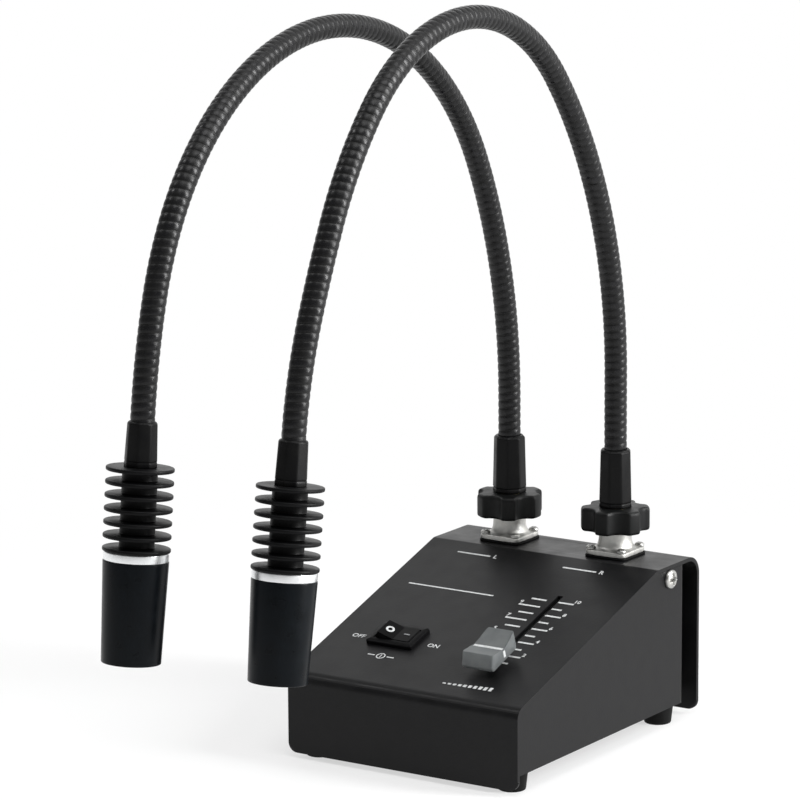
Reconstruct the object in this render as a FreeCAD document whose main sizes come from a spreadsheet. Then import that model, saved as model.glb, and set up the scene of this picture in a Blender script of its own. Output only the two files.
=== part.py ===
# Twin gooseneck spot light for a microscope bench: a sloped sheet-steel control box with a rocker
# switch and an intensity fader, and two plug-in gooseneck arms that each carry a finned lamp head.
# Row frame: millimetres, +X to the right, the front faces -Y, +Z up, feet on Z = 0, origin under
# the middle of the whole part's box. The parts are drawn from the box's front bottom edge and are
# moved together onto that origin at the end.
import FreeCAD, Part
import math
import os

import Sketcher

Vector = FreeCAD.Vector
Rotation = FreeCAD.Rotation
Placement = FreeCAD.Placement

doc = FreeCAD.newDocument("SpotLight")
sheet = doc.addObject("Spreadsheet::Sheet", "Sizes")

# Driving dimensions, in millimetres and degrees
SIZES = {
    # box
    "BoxWidth": 106.0,
    "BoxDepth": 138.0,
    "FrontHeight": 34.0,
    "RearHeight": 67.0,
    "TopDepth": 32.5,
    "SheetGauge": 1.6,
    "SkirtHeight": 2.2,
    "FrontBend": 5.0,
    "SlopeBend": 4.0,
    "RearBend": 8.0,
    "SkirtCorner": 4.0,
    "PanelGap": 0.3,
    "SideInset": 0.4,
    "ChassisHeight": 8.0,
    "RearGroove": 8.4,
    "ChassisBend": 4.0,
    "RearFlange": 9.0,
    # fasteners and feet
    "CoverScrewSetback": 23.0,
    "CoverScrewDrop": 5.6,
    "LugWidth": 13.0,
    "LugDrop": 11.0,
    "CoverScrewRadius": 2.0,
    "CoverScrewHead": 3.8,
    "ScrewSlack": 0.1,
    "FootTopRadius": 6.3,
    "FootBaseRadius": 5.0,
    "FootInset": 8.5,
    "FootFrontSetback": 9.5,
    "FootRearSetback": 18.0,
    "FootScrewRadius": 1.5,
    "FootScrewHead": 2.9,
    # rocker switch
    "SwitchX": -23.7,
    "SwitchAlong": 35.9,
    "BezelWidth": 21.3,
    "BezelDepth": 15.0,
    "BezelHeight": 1.9,
    "BezelRim": 1.75,
    "SwitchDepth": 14.5,
    "RockerRadius": 8.7,
    "RockerThrow": 20.0,
    "RockerPivotDrop": 1.5,
    "RockerPinRadius": 1.0,
    "RunningGap": 0.06,
    # fader
    "FaderX": 24.3,
    "FaderStart": 27.4,
    "FaderTravel": 52.0,
    "FaderSlotWidth": 2.4,
    "LeverWidth": 1.2,
    "LeverLength": 4.6,
    "CarriageLength": 9.0,
    "FaderBodyWidth": 9.0,
    "FaderBodyDepth": 7.5,
    "FaderLug": 7.0,
    "CapWidth": 14.0,
    "CapLength": 18.6,
    "CapHeight": 7.6,
    "CapLift": 2.6,
    "CapDipRadius": 17.0,
    "CapDipDepth": 2.2,
    # sockets and plugs
    "SocketSpacing": 50.0,
    "SocketSetback": 19.0,
    "FlangeSide": 18.4,
    "FlangeCorner": 2.4,
    "FlangeThick": 2.2,
    "FlangeFlare": 1.7,
    "GasketThick": 1.0,
    "BarrelRadius": 6.6,
    "BarrelBore": 5.3,
    "BarrelTop": 79.0,
    "BarrelTail": 58.0,
    "SocketScrewPitch": 14.2,
    "KnobRadius": 13.8,
    "KnobValleyRadius": 5.6,
    "KnobValleyDepth": 2.7,
    "KnobBottom": 77.4,
    "KnobTop": 87.0,
    "KnobWeb": 4.2,
    "PlugNeck": 5.2,
    "PlugFlange": 6.3,
    # boots, necks and leads
    "BootTop": 110.5,
    "BootTopRadius": 6.2,
    "BootBaseRadius": 6.8,
    "NeckRadius": 4.55,
    "NeckGroove": 0.65,
    "WindPitch": 3.1,
    "TurnsPerRib": 3.0,
    "NeckBore": 1.5,
    "NeckTail": 19.5,
    "BallGap": 0.25,
    "LeadRadius": 1.1,
    "ShoulderAlong": 15.0,
    "WristBack": 22.0,
    "HeadGrip": 19.0,
    "CupLip": 1.0,
    "BallShoulder": 2.6,
    # arcs of each arm's centre line from its boot's top: length along it, turn in degrees
    "LeftArc1": 15.9,
    "LeftTurn1": 0.0,
    "LeftArc2": 102.7,
    "LeftTurn2": 26.6,
    "LeftArc3": 125.9,
    "LeftTurn3": 60.7,
    "LeftArc4": 126.0,
    "LeftTurn4": 63.4,
    "LeftArc5": 30.0,
    "LeftTurn5": 13.5,
    "LeftArc6": 44.2,
    "LeftTurn6": 9.5,
    "RightArc1": 30.9,
    "RightTurn1": 0.0,
    "RightArc2": 135.1,
    "RightTurn2": 40.4,
    "RightArc3": 143.5,
    "RightTurn3": 95.7,
    "RightArc4": 48.0,
    "RightTurn4": 17.8,
    "RightArc5": 34.0,
    "RightTurn5": 4.2,
    "RightArc6": 44.2,
    "RightTurn6": 14.2,
    # lamp heads
    "HeadBootLength": 16.5,
    "HeadBootTop": 5.5,
    "HeadBootBase": 6.1,
    "FinCount": 7.0,
    "FinRadius": 12.5,
    "FinThick": 1.5,
    "FinStack": 30.8,
    "SinkCore": 6.5,
    "RingRadius": 11.95,
    "RingHeight": 2.6,
    "RingNeck": 0.6,
    "HoodLength": 37.7,
    "HoodTopRadius": 12.1,
    "HoodMouthRadius": 10.95,
    "HoodWall": 1.3,
    "LensRadius": 8.6,
    "LensSetback": 17.0,
    # inside of the box and the power inlet
    "BoardWidth": 80.0,
    "BoardDepth": 62.0,
    "BoardLift": 7.0,
    "BoardGauge": 1.6,
    "InletX": 27.0,
    "InletHeight": 27.0,
    "InletRadius": 4.0,
    "InletBore": 2.75,
}

for row, (alias, number) in enumerate(SIZES.items(), start=1):
    sheet.set("A%d" % row, alias)
    sheet.set("B%d" % row, repr(number))
    sheet.setAlias("B%d" % row, alias)
doc.recompute()


class Size:
    """A length or angle that knows its number and the sheet expression that gives it."""

    def __init__(self, text, number):
        self.text = text
        self.number = float(number)

    def joined(self, other, sign, number):
        return Size("(%s %s %s)" % (self.text, sign, as_size(other).text), number)

    def __add__(self, other):
        return self.joined(other, "+", self.number + as_size(other).number)

    def __radd__(self, other):
        return as_size(other) + self

    def __sub__(self, other):
        return self.joined(other, "-", self.number - as_size(other).number)

    def __rsub__(self, other):
        return as_size(other) - self

    def __mul__(self, other):
        return self.joined(other, "*", self.number * as_size(other).number)

    def __rmul__(self, other):
        return as_size(other) * self

    def __truediv__(self, other):
        return self.joined(other, "/", self.number / as_size(other).number)

    def __rtruediv__(self, other):
        return as_size(other) / self

    def __neg__(self):
        return 0 - self

    def __float__(self):
        return self.number


def as_size(value):
    if isinstance(value, Size):
        return value
    return Size("(%.6f)" % value, value)


def of(alias):
    return Size("Sizes.%s" % alias, getattr(sheet, alias))


def cosine(angle):
    return Size("cos(%s)" % angle.text, math.cos(math.radians(angle.number)))


def sine(angle):
    return Size("sin(%s)" % angle.text, math.sin(math.radians(angle.number)))


def tangent(angle):
    return Size("tan(%s)" % angle.text, math.tan(math.radians(angle.number)))


PIECES = {}


def keep(label, piece, place=None):
    """Names a finished sub-part, and puts it in its place."""
    piece.Label = label
    if place is not None:
        piece.Placement = place
    PIECES[label] = piece
    return piece


def at(x=0, y=0, z=0, turn=None):
    return Placement(Vector(float(x), float(y), float(z)), turn or Rotation())


# PartDesign helpers

def new_body(name):
    return doc.addObject("PartDesign::Body", name)


def plane_of(body, role):
    for feature in body.Origin.OriginFeatures:
        if feature.Role == role:
            return feature


def new_sketch(body, role, lift=0):
    """A sketch on one of the body's own planes, lifted along the plane's normal."""
    sketch = body.newObject("Sketcher::SketchObject", body.Name + "Sketch")
    sketch.AttachmentSupport = (plane_of(body, role), "")
    sketch.MapMode = "FlatFace"
    lift = as_size(lift)
    sketch.AttachmentOffset = at(z=lift)
    if "Sizes" in lift.text:
        sketch.setExpression("AttachmentOffset.Base.z", lift.text)
    return sketch


def pin_point(sketch, edge, end, point):
    """Fixes one end of a sketch edge at two sizes from the sketch's origin."""
    for axis, (kind, value) in enumerate(zip(("DistanceX", "DistanceY"), point)):
        value = as_size(value)
        if abs(value.number) < 1e-9:
            sketch.addConstraint(Sketcher.Constraint("PointOnObject", edge, end, -2 + axis))
            continue
        index = sketch.addConstraint(Sketcher.Constraint(kind, -1, 1, edge, end, value.number))
        if "Sizes" in value.text:
            sketch.setExpression("Constraints[%d]" % index, value.text)


def outline(sketch, points):
    """A closed outline of straight lines through the points."""
    first = sketch.GeometryCount
    count = len(points)
    for i in range(count):
        a = Vector(float(as_size(points[i][0])), float(as_size(points[i][1])), 0)
        b = points[(i + 1) % count]
        b = Vector(float(as_size(b[0])), float(as_size(b[1])), 0)
        sketch.addGeometry(Part.LineSegment(a, b), False)
    for i in range(count):
        after = first + (i + 1) % count
        sketch.addConstraint(Sketcher.Constraint("Coincident", first + i, 2, after, 1))
    for i, point in enumerate(points):
        pin_point(sketch, first + i, 1, point)


def ring_line(sketch, centre, radius):
    """A full circle."""
    x, y, r = [as_size(v) for v in (centre[0], centre[1], radius)]
    circle = Part.Circle(Vector(x.number, y.number, 0), Vector(0, 0, 1), r.number)
    index = sketch.addGeometry(circle, False)
    pin_point(sketch, index, 3, (x, y))
    held = sketch.addConstraint(Sketcher.Constraint("Radius", index, r.number))
    if "Sizes" in r.text:
        sketch.setExpression("Constraints[%d]" % held, r.text)


def box_points(x0, x1, y0, y1):
    return [(x0, y0), (x1, y0), (x1, y1), (x0, y1)]


def bound(feature, name, value):
    value = as_size(value)
    setattr(feature, name, value.number)
    if "Sizes" in value.text:
        feature.setExpression(name, value.text)


def pad(body, sketch, length, centred=False, downwards=False):
    feature = body.newObject("PartDesign::Pad", body.Name + "Pad")
    feature.Profile = sketch
    feature.Midplane = centred
    feature.Reversed = downwards
    bound(feature, "Length", length)
    doc.recompute()
    return feature


def pocket(body, sketch, length, centred=False, upwards=False):
    """A pocket, which has to take some volume away."""
    before = body.Shape.Volume
    feature = body.newObject("PartDesign::Pocket", body.Name + "Pocket")
    feature.Profile = sketch
    feature.Midplane = centred
    feature.Reversed = upwards
    bound(feature, "Length", length)
    doc.recompute()
    if not body.Shape.Volume < before - 1e-6:
        raise RuntimeError("%s: a pocket cuts nothing" % body.Name)
    return feature


def revolve(body, sketch):
    """Turns a half profile, drawn on the XZ plane, about the Z axis."""
    feature = body.newObject("PartDesign::Revolution", body.Name + "Turn")
    feature.Profile = sketch
    feature.ReferenceAxis = (sketch, ["V_Axis"])
    feature.Angle = 360.0
    doc.recompute()
    return feature


def ring_pattern(body, feature, count):
    pattern = body.newObject("PartDesign::PolarPattern", body.Name + "Pattern")
    pattern.Originals = [feature]
    pattern.Axis = (plane_of(body, "Z_Axis"), [""])
    pattern.Angle = 360.0
    pattern.Occurrences = count
    body.Tip = pattern
    doc.recompute()
    return pattern


def softened(body, kind, radius, choose):
    """Rounds or chamfers the edges of the body that the test picks."""
    base = body.Tip
    names = ["Edge%d" % (i + 1) for i, edge in enumerate(base.Shape.Edges) if choose(edge)]
    if not names:
        raise RuntimeError("%s: no edge to soften" % body.Name)
    feature = body.newObject("PartDesign::" + kind, body.Name + kind)
    feature.Base = (base, names)
    bound(feature, "Radius" if kind == "Fillet" else "Size", radius)
    doc.recompute()
    return feature


def runs_along(edge, axis):
    """Tells whether an edge is a straight line along the axis."""
    if edge.Curve.TypeId != "Part::GeomLine":
        return False
    return abs(abs(edge.tangentAt(edge.FirstParameter).dot(axis)) - 1) < 1e-6


def close_to(value, size, slack=0.02):
    return abs(value - float(size)) < slack


def turned(label, half_profile, place=None):
    """A turned sub-part from its half profile of (radius, height) points."""
    body = new_body(label)
    sketch = new_sketch(body, "XZ_Plane")
    outline(sketch, half_profile)
    revolve(body, sketch)
    return keep(label, body, place)


# Part primitive helpers

def block(name, x0, x1, y0, y1, z0, z1):
    box = doc.addObject("Part::Box", name)
    for side, low, high, axis in (("Length", x0, x1, "x"), ("Width", y0, y1, "y"), ("Height", z0, z1, "z")):
        bound(box, side, as_size(high) - as_size(low))
        base = as_size(low)
        if "Sizes" in base.text:
            box.setExpression("Placement.Base.%s" % axis, base.text)
        else:
            setattr(box.Placement.Base, axis, base.number)
            place = box.Placement
            setattr(place.Base, axis, base.number)
            box.Placement = place
    return box


def rod(name, radius, low, high, x=0, y=0):
    """An upright cylinder."""
    cylinder = doc.addObject("Part::Cylinder", name)
    bound(cylinder, "Radius", radius)
    bound(cylinder, "Height", as_size(high) - as_size(low))
    for axis, base in (("x", as_size(x)), ("y", as_size(y)), ("z", as_size(low))):
        if "Sizes" in base.text:
            cylinder.setExpression("Placement.Base.%s" % axis, base.text)
        else:
            place = cylinder.Placement
            setattr(place.Base, axis, base.number)
            cylinder.Placement = place
    return cylinder


def joined(name, pieces):
    fuse = doc.addObject("Part::MultiFuse", name)
    fuse.Shapes = pieces
    return fuse


def cut_from(name, base, tool):
    cut = doc.addObject("Part::Cut", name)
    cut.Base = base
    cut.Tool = tool
    return cut


def group(name, pieces):
    """Several separate solids of one kind in one node."""
    compound = doc.addObject("Part::Compound", name)
    compound.Links = pieces
    return keep(name, compound)


def spread(name, master, places):
    """Copies of one shape at several places, as one node of separate solids."""
    copies = []
    for i, place in enumerate(places):
        copy = doc.addObject("Part::Feature", "%sCopy%d" % (name, i))
        shape = master.Shape.copy()
        shape.Placement = place.multiply(shape.Placement)
        copy.Shape = shape
        copies.append(copy)
    return group(name, copies)


# Places that several sub-parts share

W = of("BoxWidth")
DEPTH = of("BoxDepth")
GAUGE = of("SheetGauge")
GAP = of("PanelGap")
FRONT_TOP = of("FrontHeight")
REAR_TOP = of("RearHeight")
SLOPE_END = DEPTH - of("TopDepth")
SLOPE = Size(
    "atan((%s) / (%s))" % ((REAR_TOP - FRONT_TOP).text, SLOPE_END.text),
    math.degrees(math.atan(float(REAR_TOP - FRONT_TOP) / float(SLOPE_END))),
)
HALF_SLOPE = SLOPE / 2
SIDE_OUT = W / 2 - of("SideInset")
SIDE_IN = SIDE_OUT - GAUGE
FLOOR = of("ChassisHeight")
DECK = FLOOR + GAUGE
CHASSIS_FRONT = GAUGE + GAP
CHASSIS_REAR = DEPTH - GAUGE - of("RearGroove")
SOCKET_Y = DEPTH - of("SocketSetback")
SOCKET_X = of("SocketSpacing") / 2
SCREW_Y = DEPTH - of("CoverScrewSetback")
SCREW_Z = REAR_TOP - of("CoverScrewDrop")
SIDES = {"left": -1, "right": 1}

ON_SLOPE = Placement(Vector(0, 0, float(FRONT_TOP)), Rotation(Vector(1, 0, 0), float(SLOPE)))


def slope_place(x, along, lift, turn=None):
    """A place on the sloped panel: X, the way up the slope and the height above it."""
    return ON_SLOPE.multiply(at(x, along, lift, turn))


def panel_cut(body, points_or_circle, depth):
    """Cuts an opening through the sloped panel, square to it."""
    sketch = body.newObject("Sketcher::SketchObject", body.Name + "Opening")
    sketch.AttachmentSupport = (plane_of(body, "XY_Plane"), "")
    sketch.MapMode = "FlatFace"
    sketch.AttachmentOffset = ON_SLOPE
    sketch.setExpression("AttachmentOffset.Base.z", FRONT_TOP.text)
    sketch.setExpression("AttachmentOffset.Rotation.Angle", SLOPE.text)
    outline(sketch, points_or_circle)
    return pocket(body, sketch, depth)


# Cover: one bent sheet that makes the front, the sloped panel, the top and the rear wall

def make_cover():
    body = new_body("cover")
    skirt = of("SkirtHeight")
    front_in = FRONT_TOP + GAUGE * (tangent(SLOPE) - 1 / cosine(SLOPE))
    slope_in = SLOPE_END + GAUGE * tangent(HALF_SLOPE)
    profile = [
        (0, skirt),
        (0, FRONT_TOP),
        (SLOPE_END, REAR_TOP),
        (DEPTH, REAR_TOP),
        (DEPTH, skirt),
        (DEPTH - GAUGE, skirt),
        (DEPTH - GAUGE, REAR_TOP - GAUGE),
        (slope_in, REAR_TOP - GAUGE),
        (GAUGE, front_in),
        (GAUGE, skirt),
    ]
    sketch = new_sketch(body, "YZ_Plane")
    outline(sketch, profile)
    pad(body, sketch, W, centred=True)
    across = Vector(1, 0, 0)

    def crease(y, z):
        def test(edge):
            middle = edge.CenterOfMass
            return runs_along(edge, across) and close_to(middle.y, y) and close_to(middle.z, z)
        return test

    softened(body, "Fillet", of("FrontBend"), crease(0, FRONT_TOP))
    softened(body, "Fillet", of("FrontBend") - GAUGE, crease(GAUGE, front_in))
    softened(body, "Fillet", of("SlopeBend"), crease(SLOPE_END, REAR_TOP))
    softened(body, "Fillet", of("SlopeBend") - GAUGE, crease(slope_in, REAR_TOP - GAUGE))
    softened(body, "Fillet", of("RearBend"), crease(DEPTH, REAR_TOP))
    softened(body, "Fillet", of("RearBend") - GAUGE, crease(DEPTH - GAUGE, REAR_TOP - GAUGE))
    through = Vector(0, 1, 0)
    softened(
        body, "Fillet", of("SkirtCorner"),
        lambda edge: runs_along(edge, through) and edge.CenterOfMass.z < float(skirt) + 0.01,
    )
    # Openings in the sloped panel: the switch and the fader's slot
    cut_depth = GAUGE * 2
    half = SWITCH_BODY_WIDTH / 2 + GAP / 2
    deep = SWITCH_BODY_DEPTH / 2 + GAP / 2
    x, along = of("SwitchX"), of("SwitchAlong")
    panel_cut(body, box_points(x - half, x + half, along - deep, along + deep), cut_depth)
    slot = of("FaderSlotWidth") / 2
    low = of("FaderStart") - of("LeverLength") / 2 - GAP
    high = of("FaderStart") + of("FaderTravel") + of("LeverLength") / 2 + GAP
    x = of("FaderX")
    panel_cut(body, box_points(x - slot, x + slot, low, high), cut_depth)
    # Holes in the top for each socket's tail and its four screws
    holes = new_sketch(body, "XY_Plane", REAR_TOP)
    for side in SIDES.values():
        ring_line(holes, (SOCKET_X * side, SOCKET_Y), of("BarrelRadius") + GAP)
        for dx in (-1, 1):
            for dy in (-1, 1):
                pitch = of("SocketScrewPitch") / 2
                centre = (SOCKET_X * side + pitch * dx, SOCKET_Y + pitch * dy)
                ring_line(holes, centre, SOCKET_SCREW_RADIUS + of("ScrewSlack"))
    pocket(body, holes, cut_depth)
    # Hole in the rear wall for the power inlet
    inlet = new_sketch(body, "XZ_Plane", -DEPTH)
    ring_line(inlet, (of("InletX"), of("InletHeight")), of("InletRadius") + GAP)
    pocket(body, inlet, cut_depth, upwards=True)
    # Lugs that hang inside the side plates and take the side screws
    half_lug = of("LugWidth") / 2
    for side in SIDES.values():
        lug = new_sketch(body, "YZ_Plane", SIDE_IN * side if side > 0 else -SIDE_IN)
        top = REAR_TOP - GAUGE
        outline(lug, box_points(SCREW_Y - half_lug, SCREW_Y + half_lug, top - of("LugDrop"), top))
        pad(body, lug, GAUGE, downwards=side > 0)
    drilled = new_sketch(body, "YZ_Plane")
    ring_line(drilled, (SCREW_Y, SCREW_Z), of("CoverScrewRadius"))
    pocket(body, drilled, W, centred=True)
    return keep("cover", body)


# Chassis: bottom plate and two side plates, with narrow flanges turned in at the rear

def make_chassis():
    body = new_body("chassis")
    slack = GAUGE + GAP
    front_top = FRONT_TOP - slack / cosine(SLOPE) + CHASSIS_FRONT * tangent(SLOPE)
    slope_end = SLOPE_END + slack * tangent(HALF_SLOPE)
    top = REAR_TOP - slack
    side = [
        (CHASSIS_FRONT, FLOOR),
        (CHASSIS_REAR, FLOOR),
        (CHASSIS_REAR, top),
        (slope_end, top),
        (CHASSIS_FRONT, front_top),
    ]
    plate = new_sketch(body, "YZ_Plane")
    outline(plate, side)
    pad(body, plate, SIDE_OUT * 2, centred=True)
    hollow = new_sketch(body, "YZ_Plane")
    inner = [
        (0, DECK),
        (CHASSIS_REAR - GAUGE, DECK),
        (CHASSIS_REAR - GAUGE, REAR_TOP),
        (0, REAR_TOP),
    ]
    outline(hollow, inner)
    pocket(body, hollow, SIDE_IN * 2, centred=True)
    window = new_sketch(body, "XZ_Plane", -DEPTH)
    edge = SIDE_OUT - of("RearFlange")
    outline(window, box_points(-edge, edge, DECK, REAR_TOP))
    pocket(body, window, DEPTH / 4, upwards=True)
    upright = Vector(0, 0, 1)

    def corner(x, y):
        def test(edge):
            middle = edge.CenterOfMass
            return runs_along(edge, upright) and close_to(abs(middle.x), x) and close_to(middle.y, y)
        return test

    softened(body, "Fillet", of("ChassisBend") - GAUGE, corner(SIDE_IN, CHASSIS_REAR - GAUGE))
    softened(body, "Fillet", of("ChassisBend"), corner(SIDE_OUT, CHASSIS_REAR))
    holes = new_sketch(body, "XY_Plane", FLOOR)
    for x, y in foot_spots():
        ring_line(holes, (x, y), of("FootScrewRadius"))
    for x, y in board_spots():
        ring_line(holes, (x, y), BOARD_SCREW_RADIUS)
    pocket(body, holes, GAUGE * 2, upwards=True)
    drilled = new_sketch(body, "YZ_Plane")
    ring_line(drilled, (SCREW_Y, SCREW_Z), of("CoverScrewRadius") + of("ScrewSlack"))
    pocket(body, drilled, W, centred=True)
    return keep("chassis", body)


def foot_spots():
    x = W / 2 - of("FootInset")
    rows = (of("FootFrontSetback"), DEPTH - of("FootRearSetback"))
    return [(x * side, y) for side in SIDES.values() for y in rows]


def board_spots():
    x = of("BoardWidth") / 2 - BOARD_EDGE
    y = of("BoardDepth") / 2 - BOARD_EDGE
    return [(x * dx, BOARD_Y + y * dy) for dx in (-1, 1) for dy in (-1, 1)]


def screw_profile(shank, head, head_height, length):
    """A domed screw: shank below Z = 0, head above it."""
    return [
        (0, -length),
        (shank, -length),
        (shank, 0),
        (head, 0),
        (head * 0.92, head_height * 0.5),
        (head * 0.55, head_height),
        (0, head_height),
    ]


def make_case_fasteners():
    screw = new_body("CoverScrew")
    sketch = new_sketch(screw, "XZ_Plane")
    length = GAUGE * 2 + 5
    outline(sketch, screw_profile(of("CoverScrewRadius"), of("CoverScrewHead"), 2.2, length))
    revolve(screw, sketch)
    places = []
    for side in SIDES.values():
        turn = Rotation(Vector(0, 1, 0), 90 * side)
        places.append(at(SIDE_OUT * side, SCREW_Y, SCREW_Z, turn))
    spread("cover_screws", screw, places)


def make_feet():
    recess = of("FootScrewHead") + GAP
    seat = FLOOR * 0.55
    foot = new_body("Foot")
    sketch = new_sketch(foot, "XZ_Plane")
    profile = [
        (recess, 0),
        (of("FootBaseRadius"), 0),
        (of("FootTopRadius"), FLOOR),
        (of("FootScrewRadius") + of("ScrewSlack"), FLOOR),
        (of("FootScrewRadius") + of("ScrewSlack"), seat),
        (recess, seat),
    ]
    outline(sketch, profile)
    revolve(foot, sketch)
    spread("rubber_feet", foot, [at(x, y) for x, y in foot_spots()])
    screw = new_body("FootScrew")
    sketch = new_sketch(screw, "XZ_Plane")
    length = FLOOR - seat + GAUGE * 2
    outline(sketch, screw_profile(of("FootScrewRadius"), of("FootScrewHead"), 1.8, length))
    revolve(screw, sketch)
    over = Rotation(Vector(1, 0, 0), 180)
    spread("foot_screws", screw, [at(x, y, seat, over) for x, y in foot_spots()])


# Rocker switch, drawn about its centre with Z square to the sloped panel

SWITCH_BODY_WIDTH = of("BezelWidth") - 2
SWITCH_BODY_DEPTH = of("BezelDepth") - 2
BEZEL = of("BezelHeight")
WELL_WIDTH = of("BezelWidth") - of("BezelRim") * 2
WELL_DEPTH = of("BezelDepth") - of("BezelRim") * 2
# Corners of the rocker's end in degrees round its pin, and its middle heights as shares of its reach
ROCKER_CORNERS = (-20, 8, 34)
ROCKER_DISH = 0.42
ROCKER_KEEL = 0.52


def make_switch():
    place = slope_place(of("SwitchX"), of("SwitchAlong"), 0)
    body = new_body("switch_frame")
    sketch = new_sketch(body, "XY_Plane")
    half, deep = of("BezelWidth") / 2, of("BezelDepth") / 2
    outline(sketch, box_points(-half, half, -deep, deep))
    pad(body, sketch, BEZEL)
    softened(body, "Fillet", 1.0, lambda e: runs_along(e, Vector(0, 0, 1)))
    softened(body, "Chamfer", 0.5, lambda e: close_to(e.BoundBox.ZMin, BEZEL))
    lower = new_sketch(body, "XY_Plane")
    half, deep = SWITCH_BODY_WIDTH / 2, SWITCH_BODY_DEPTH / 2
    outline(lower, box_points(-half, half, -deep, deep))
    pad(body, lower, of("SwitchDepth"), downwards=True)
    well = new_sketch(body, "XY_Plane", BEZEL)
    half, deep = WELL_WIDTH / 2, WELL_DEPTH / 2
    outline(well, box_points(-half, half, -deep, deep))
    pocket(body, well, BEZEL + of("SwitchDepth") - GAUGE)
    pivot = new_sketch(body, "XZ_Plane")
    ring_line(pivot, (0, -of("RockerPivotDrop")), of("RockerPinRadius") + of("RunningGap"))
    pocket(body, pivot, WELL_DEPTH + 1.2, centred=True)
    keep("switch_frame", body, place)

    blade_low = -of("SwitchDepth") - 7
    blades = []
    for i in (-1, 0, 1):
        x = SWITCH_BODY_WIDTH / 3.2 * i
        name = "Blade%d" % (i + 1)
        blades.append(block(name, x - 0.4, x + 0.4, -2.4, 2.4, blade_low, -of("SwitchDepth")))
    node = group("switch_terminals", blades)
    node.Placement = place

    # The rocker's ends lie on a circle about its pin, so that it turns clear of the frame
    rocker = new_body("rocker")
    side = new_sketch(rocker, "XZ_Plane")
    reach = of("RockerRadius")
    ends = [(cosine(as_size(a)) * reach, sine(as_size(a)) * reach) for a in ROCKER_CORNERS]
    right = [(x, z) for x, z in ends]
    left = [(-x, z) for x, z in reversed(ends)]
    outline(side, right + [(0, reach * ROCKER_DISH)] + left + [(0, -reach * ROCKER_KEEL)])
    width = WELL_DEPTH - GAP * 2
    pad(rocker, side, width, centred=True)
    pin = new_sketch(rocker, "XZ_Plane")
    ring_line(pin, (0, 0), of("RockerPinRadius"))
    pad(rocker, pin, WELL_DEPTH + 1, centred=True)
    turn = Rotation(Vector(0, 1, 0), float(of("RockerThrow")) / 2)
    lift = -of("RockerPivotDrop")
    keep("rocker", rocker, slope_place(of("SwitchX"), of("SwitchAlong"), lift, turn))


# Fader: a slide control under the slot, its lever and the finger cap

def make_fader():
    place = slope_place(of("FaderX"), 0, 0)
    top = -GAUGE
    half = of("FaderBodyWidth") / 2
    wall = 1.0
    low = of("FaderStart") - of("CarriageLength") / 2 - wall - GAP
    high = of("FaderStart") + of("FaderTravel") + of("CarriageLength") / 2 + wall + GAP
    body = new_body("fader_housing")
    plate = new_sketch(body, "XY_Plane", top)
    lug = of("FaderLug")
    outline(plate, box_points(-half, half, low - lug, high + lug))
    pad(body, plate, wall, downwards=True)
    case = new_sketch(body, "XY_Plane", top)
    outline(case, box_points(-half, half, low, high))
    pad(body, case, of("FaderBodyDepth"), downwards=True)
    track = new_sketch(body, "XY_Plane", top)
    outline(track, box_points(wall - half, half - wall, low + wall, high - wall))
    pocket(body, track, of("FaderBodyDepth") - wall)
    holes = new_sketch(body, "XY_Plane", top)
    for y in (low - lug / 2, high + lug / 2):
        ring_line(holes, (0, y), STUD_RADIUS + of("RunningGap"))
    pocket(body, holes, wall * 2)
    keep("fader_housing", body, place)

    stud = new_body("FaderStud")
    sketch = new_sketch(stud, "XZ_Plane")
    profile = [
        (0, 0),
        (STUD_RADIUS, 0),
        (STUD_RADIUS, -wall),
        (STUD_RADIUS * 2, -wall),
        (STUD_RADIUS * 2, -wall - 1.8),
        (STUD_RADIUS, -wall - 1.8),
        (STUD_RADIUS, -wall - 3),
        (0, -wall - 3),
    ]
    outline(sketch, profile)
    revolve(stud, sketch)
    ends = [slope_place(of("FaderX"), y, top) for y in (low - lug / 2, high + lug / 2)]
    spread("fader_studs", stud, ends)

    start = of("FaderStart")
    long = of("CarriageLength") / 2
    carriage = block(
        "Carriage", wall + GAP - half, half - wall - GAP, start - long, start + long,
        top - of("FaderBodyDepth") + wall + GAP, top - 0.5,
    )
    thin, deep = of("LeverWidth") / 2, of("LeverLength") / 2
    lever_top = of("CapLift") + CAP_SOCKET
    blade = block("LeverBlade", -thin, thin, start - deep, start + deep, top - 1, lever_top)
    lever = joined("fader_lever", [carriage, blade])
    keep("fader_lever", lever, place)

    # Finger cap: a block dished by a large cylinder, with a pocket below for the lever
    width, length = of("CapWidth") / 2, of("CapLength") / 2
    lift = of("CapLift")
    blank = block("CapBlank", -width, width, start - length, start + length, lift, lift + of("CapHeight"))
    dip = doc.addObject("Part::Cylinder", "CapDip")
    bound(dip, "Radius", of("CapDipRadius"))
    bound(dip, "Height", of("CapWidth") * 2)
    centre = lift + of("CapHeight") + of("CapDipRadius") - of("CapDipDepth")
    dip.Placement = at(-of("CapWidth"), start, centre, Rotation(Vector(0, 1, 0), 90))
    dip.setExpression("Placement.Base.x", (-of("CapWidth")).text)
    dip.setExpression("Placement.Base.y", start.text)
    dip.setExpression("Placement.Base.z", centre.text)
    dished = cut_from("CapDished", blank, dip)
    pocket_box = block(
        "CapPocket", -thin, thin, start - deep, start + deep, lift, lever_top,
    )
    hollow = cut_from("CapHollow", dished, pocket_box)
    doc.recompute()
    soft = doc.addObject("Part::Fillet", "fader_cap")
    soft.Base = hollow
    picked = []
    upright = Vector(0, 0, 1)
    for i, edge in enumerate(hollow.Shape.Edges):
        outer = abs(abs(edge.CenterOfMass.x) - float(width)) < 0.01
        if runs_along(edge, upright) and outer:
            picked.append((i + 1, 1.2, 1.2))
    soft.Edges = picked
    keep("fader_cap", soft, place)


# Sockets on the top of the box, with gaskets, screws, insulators and contact pins

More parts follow.
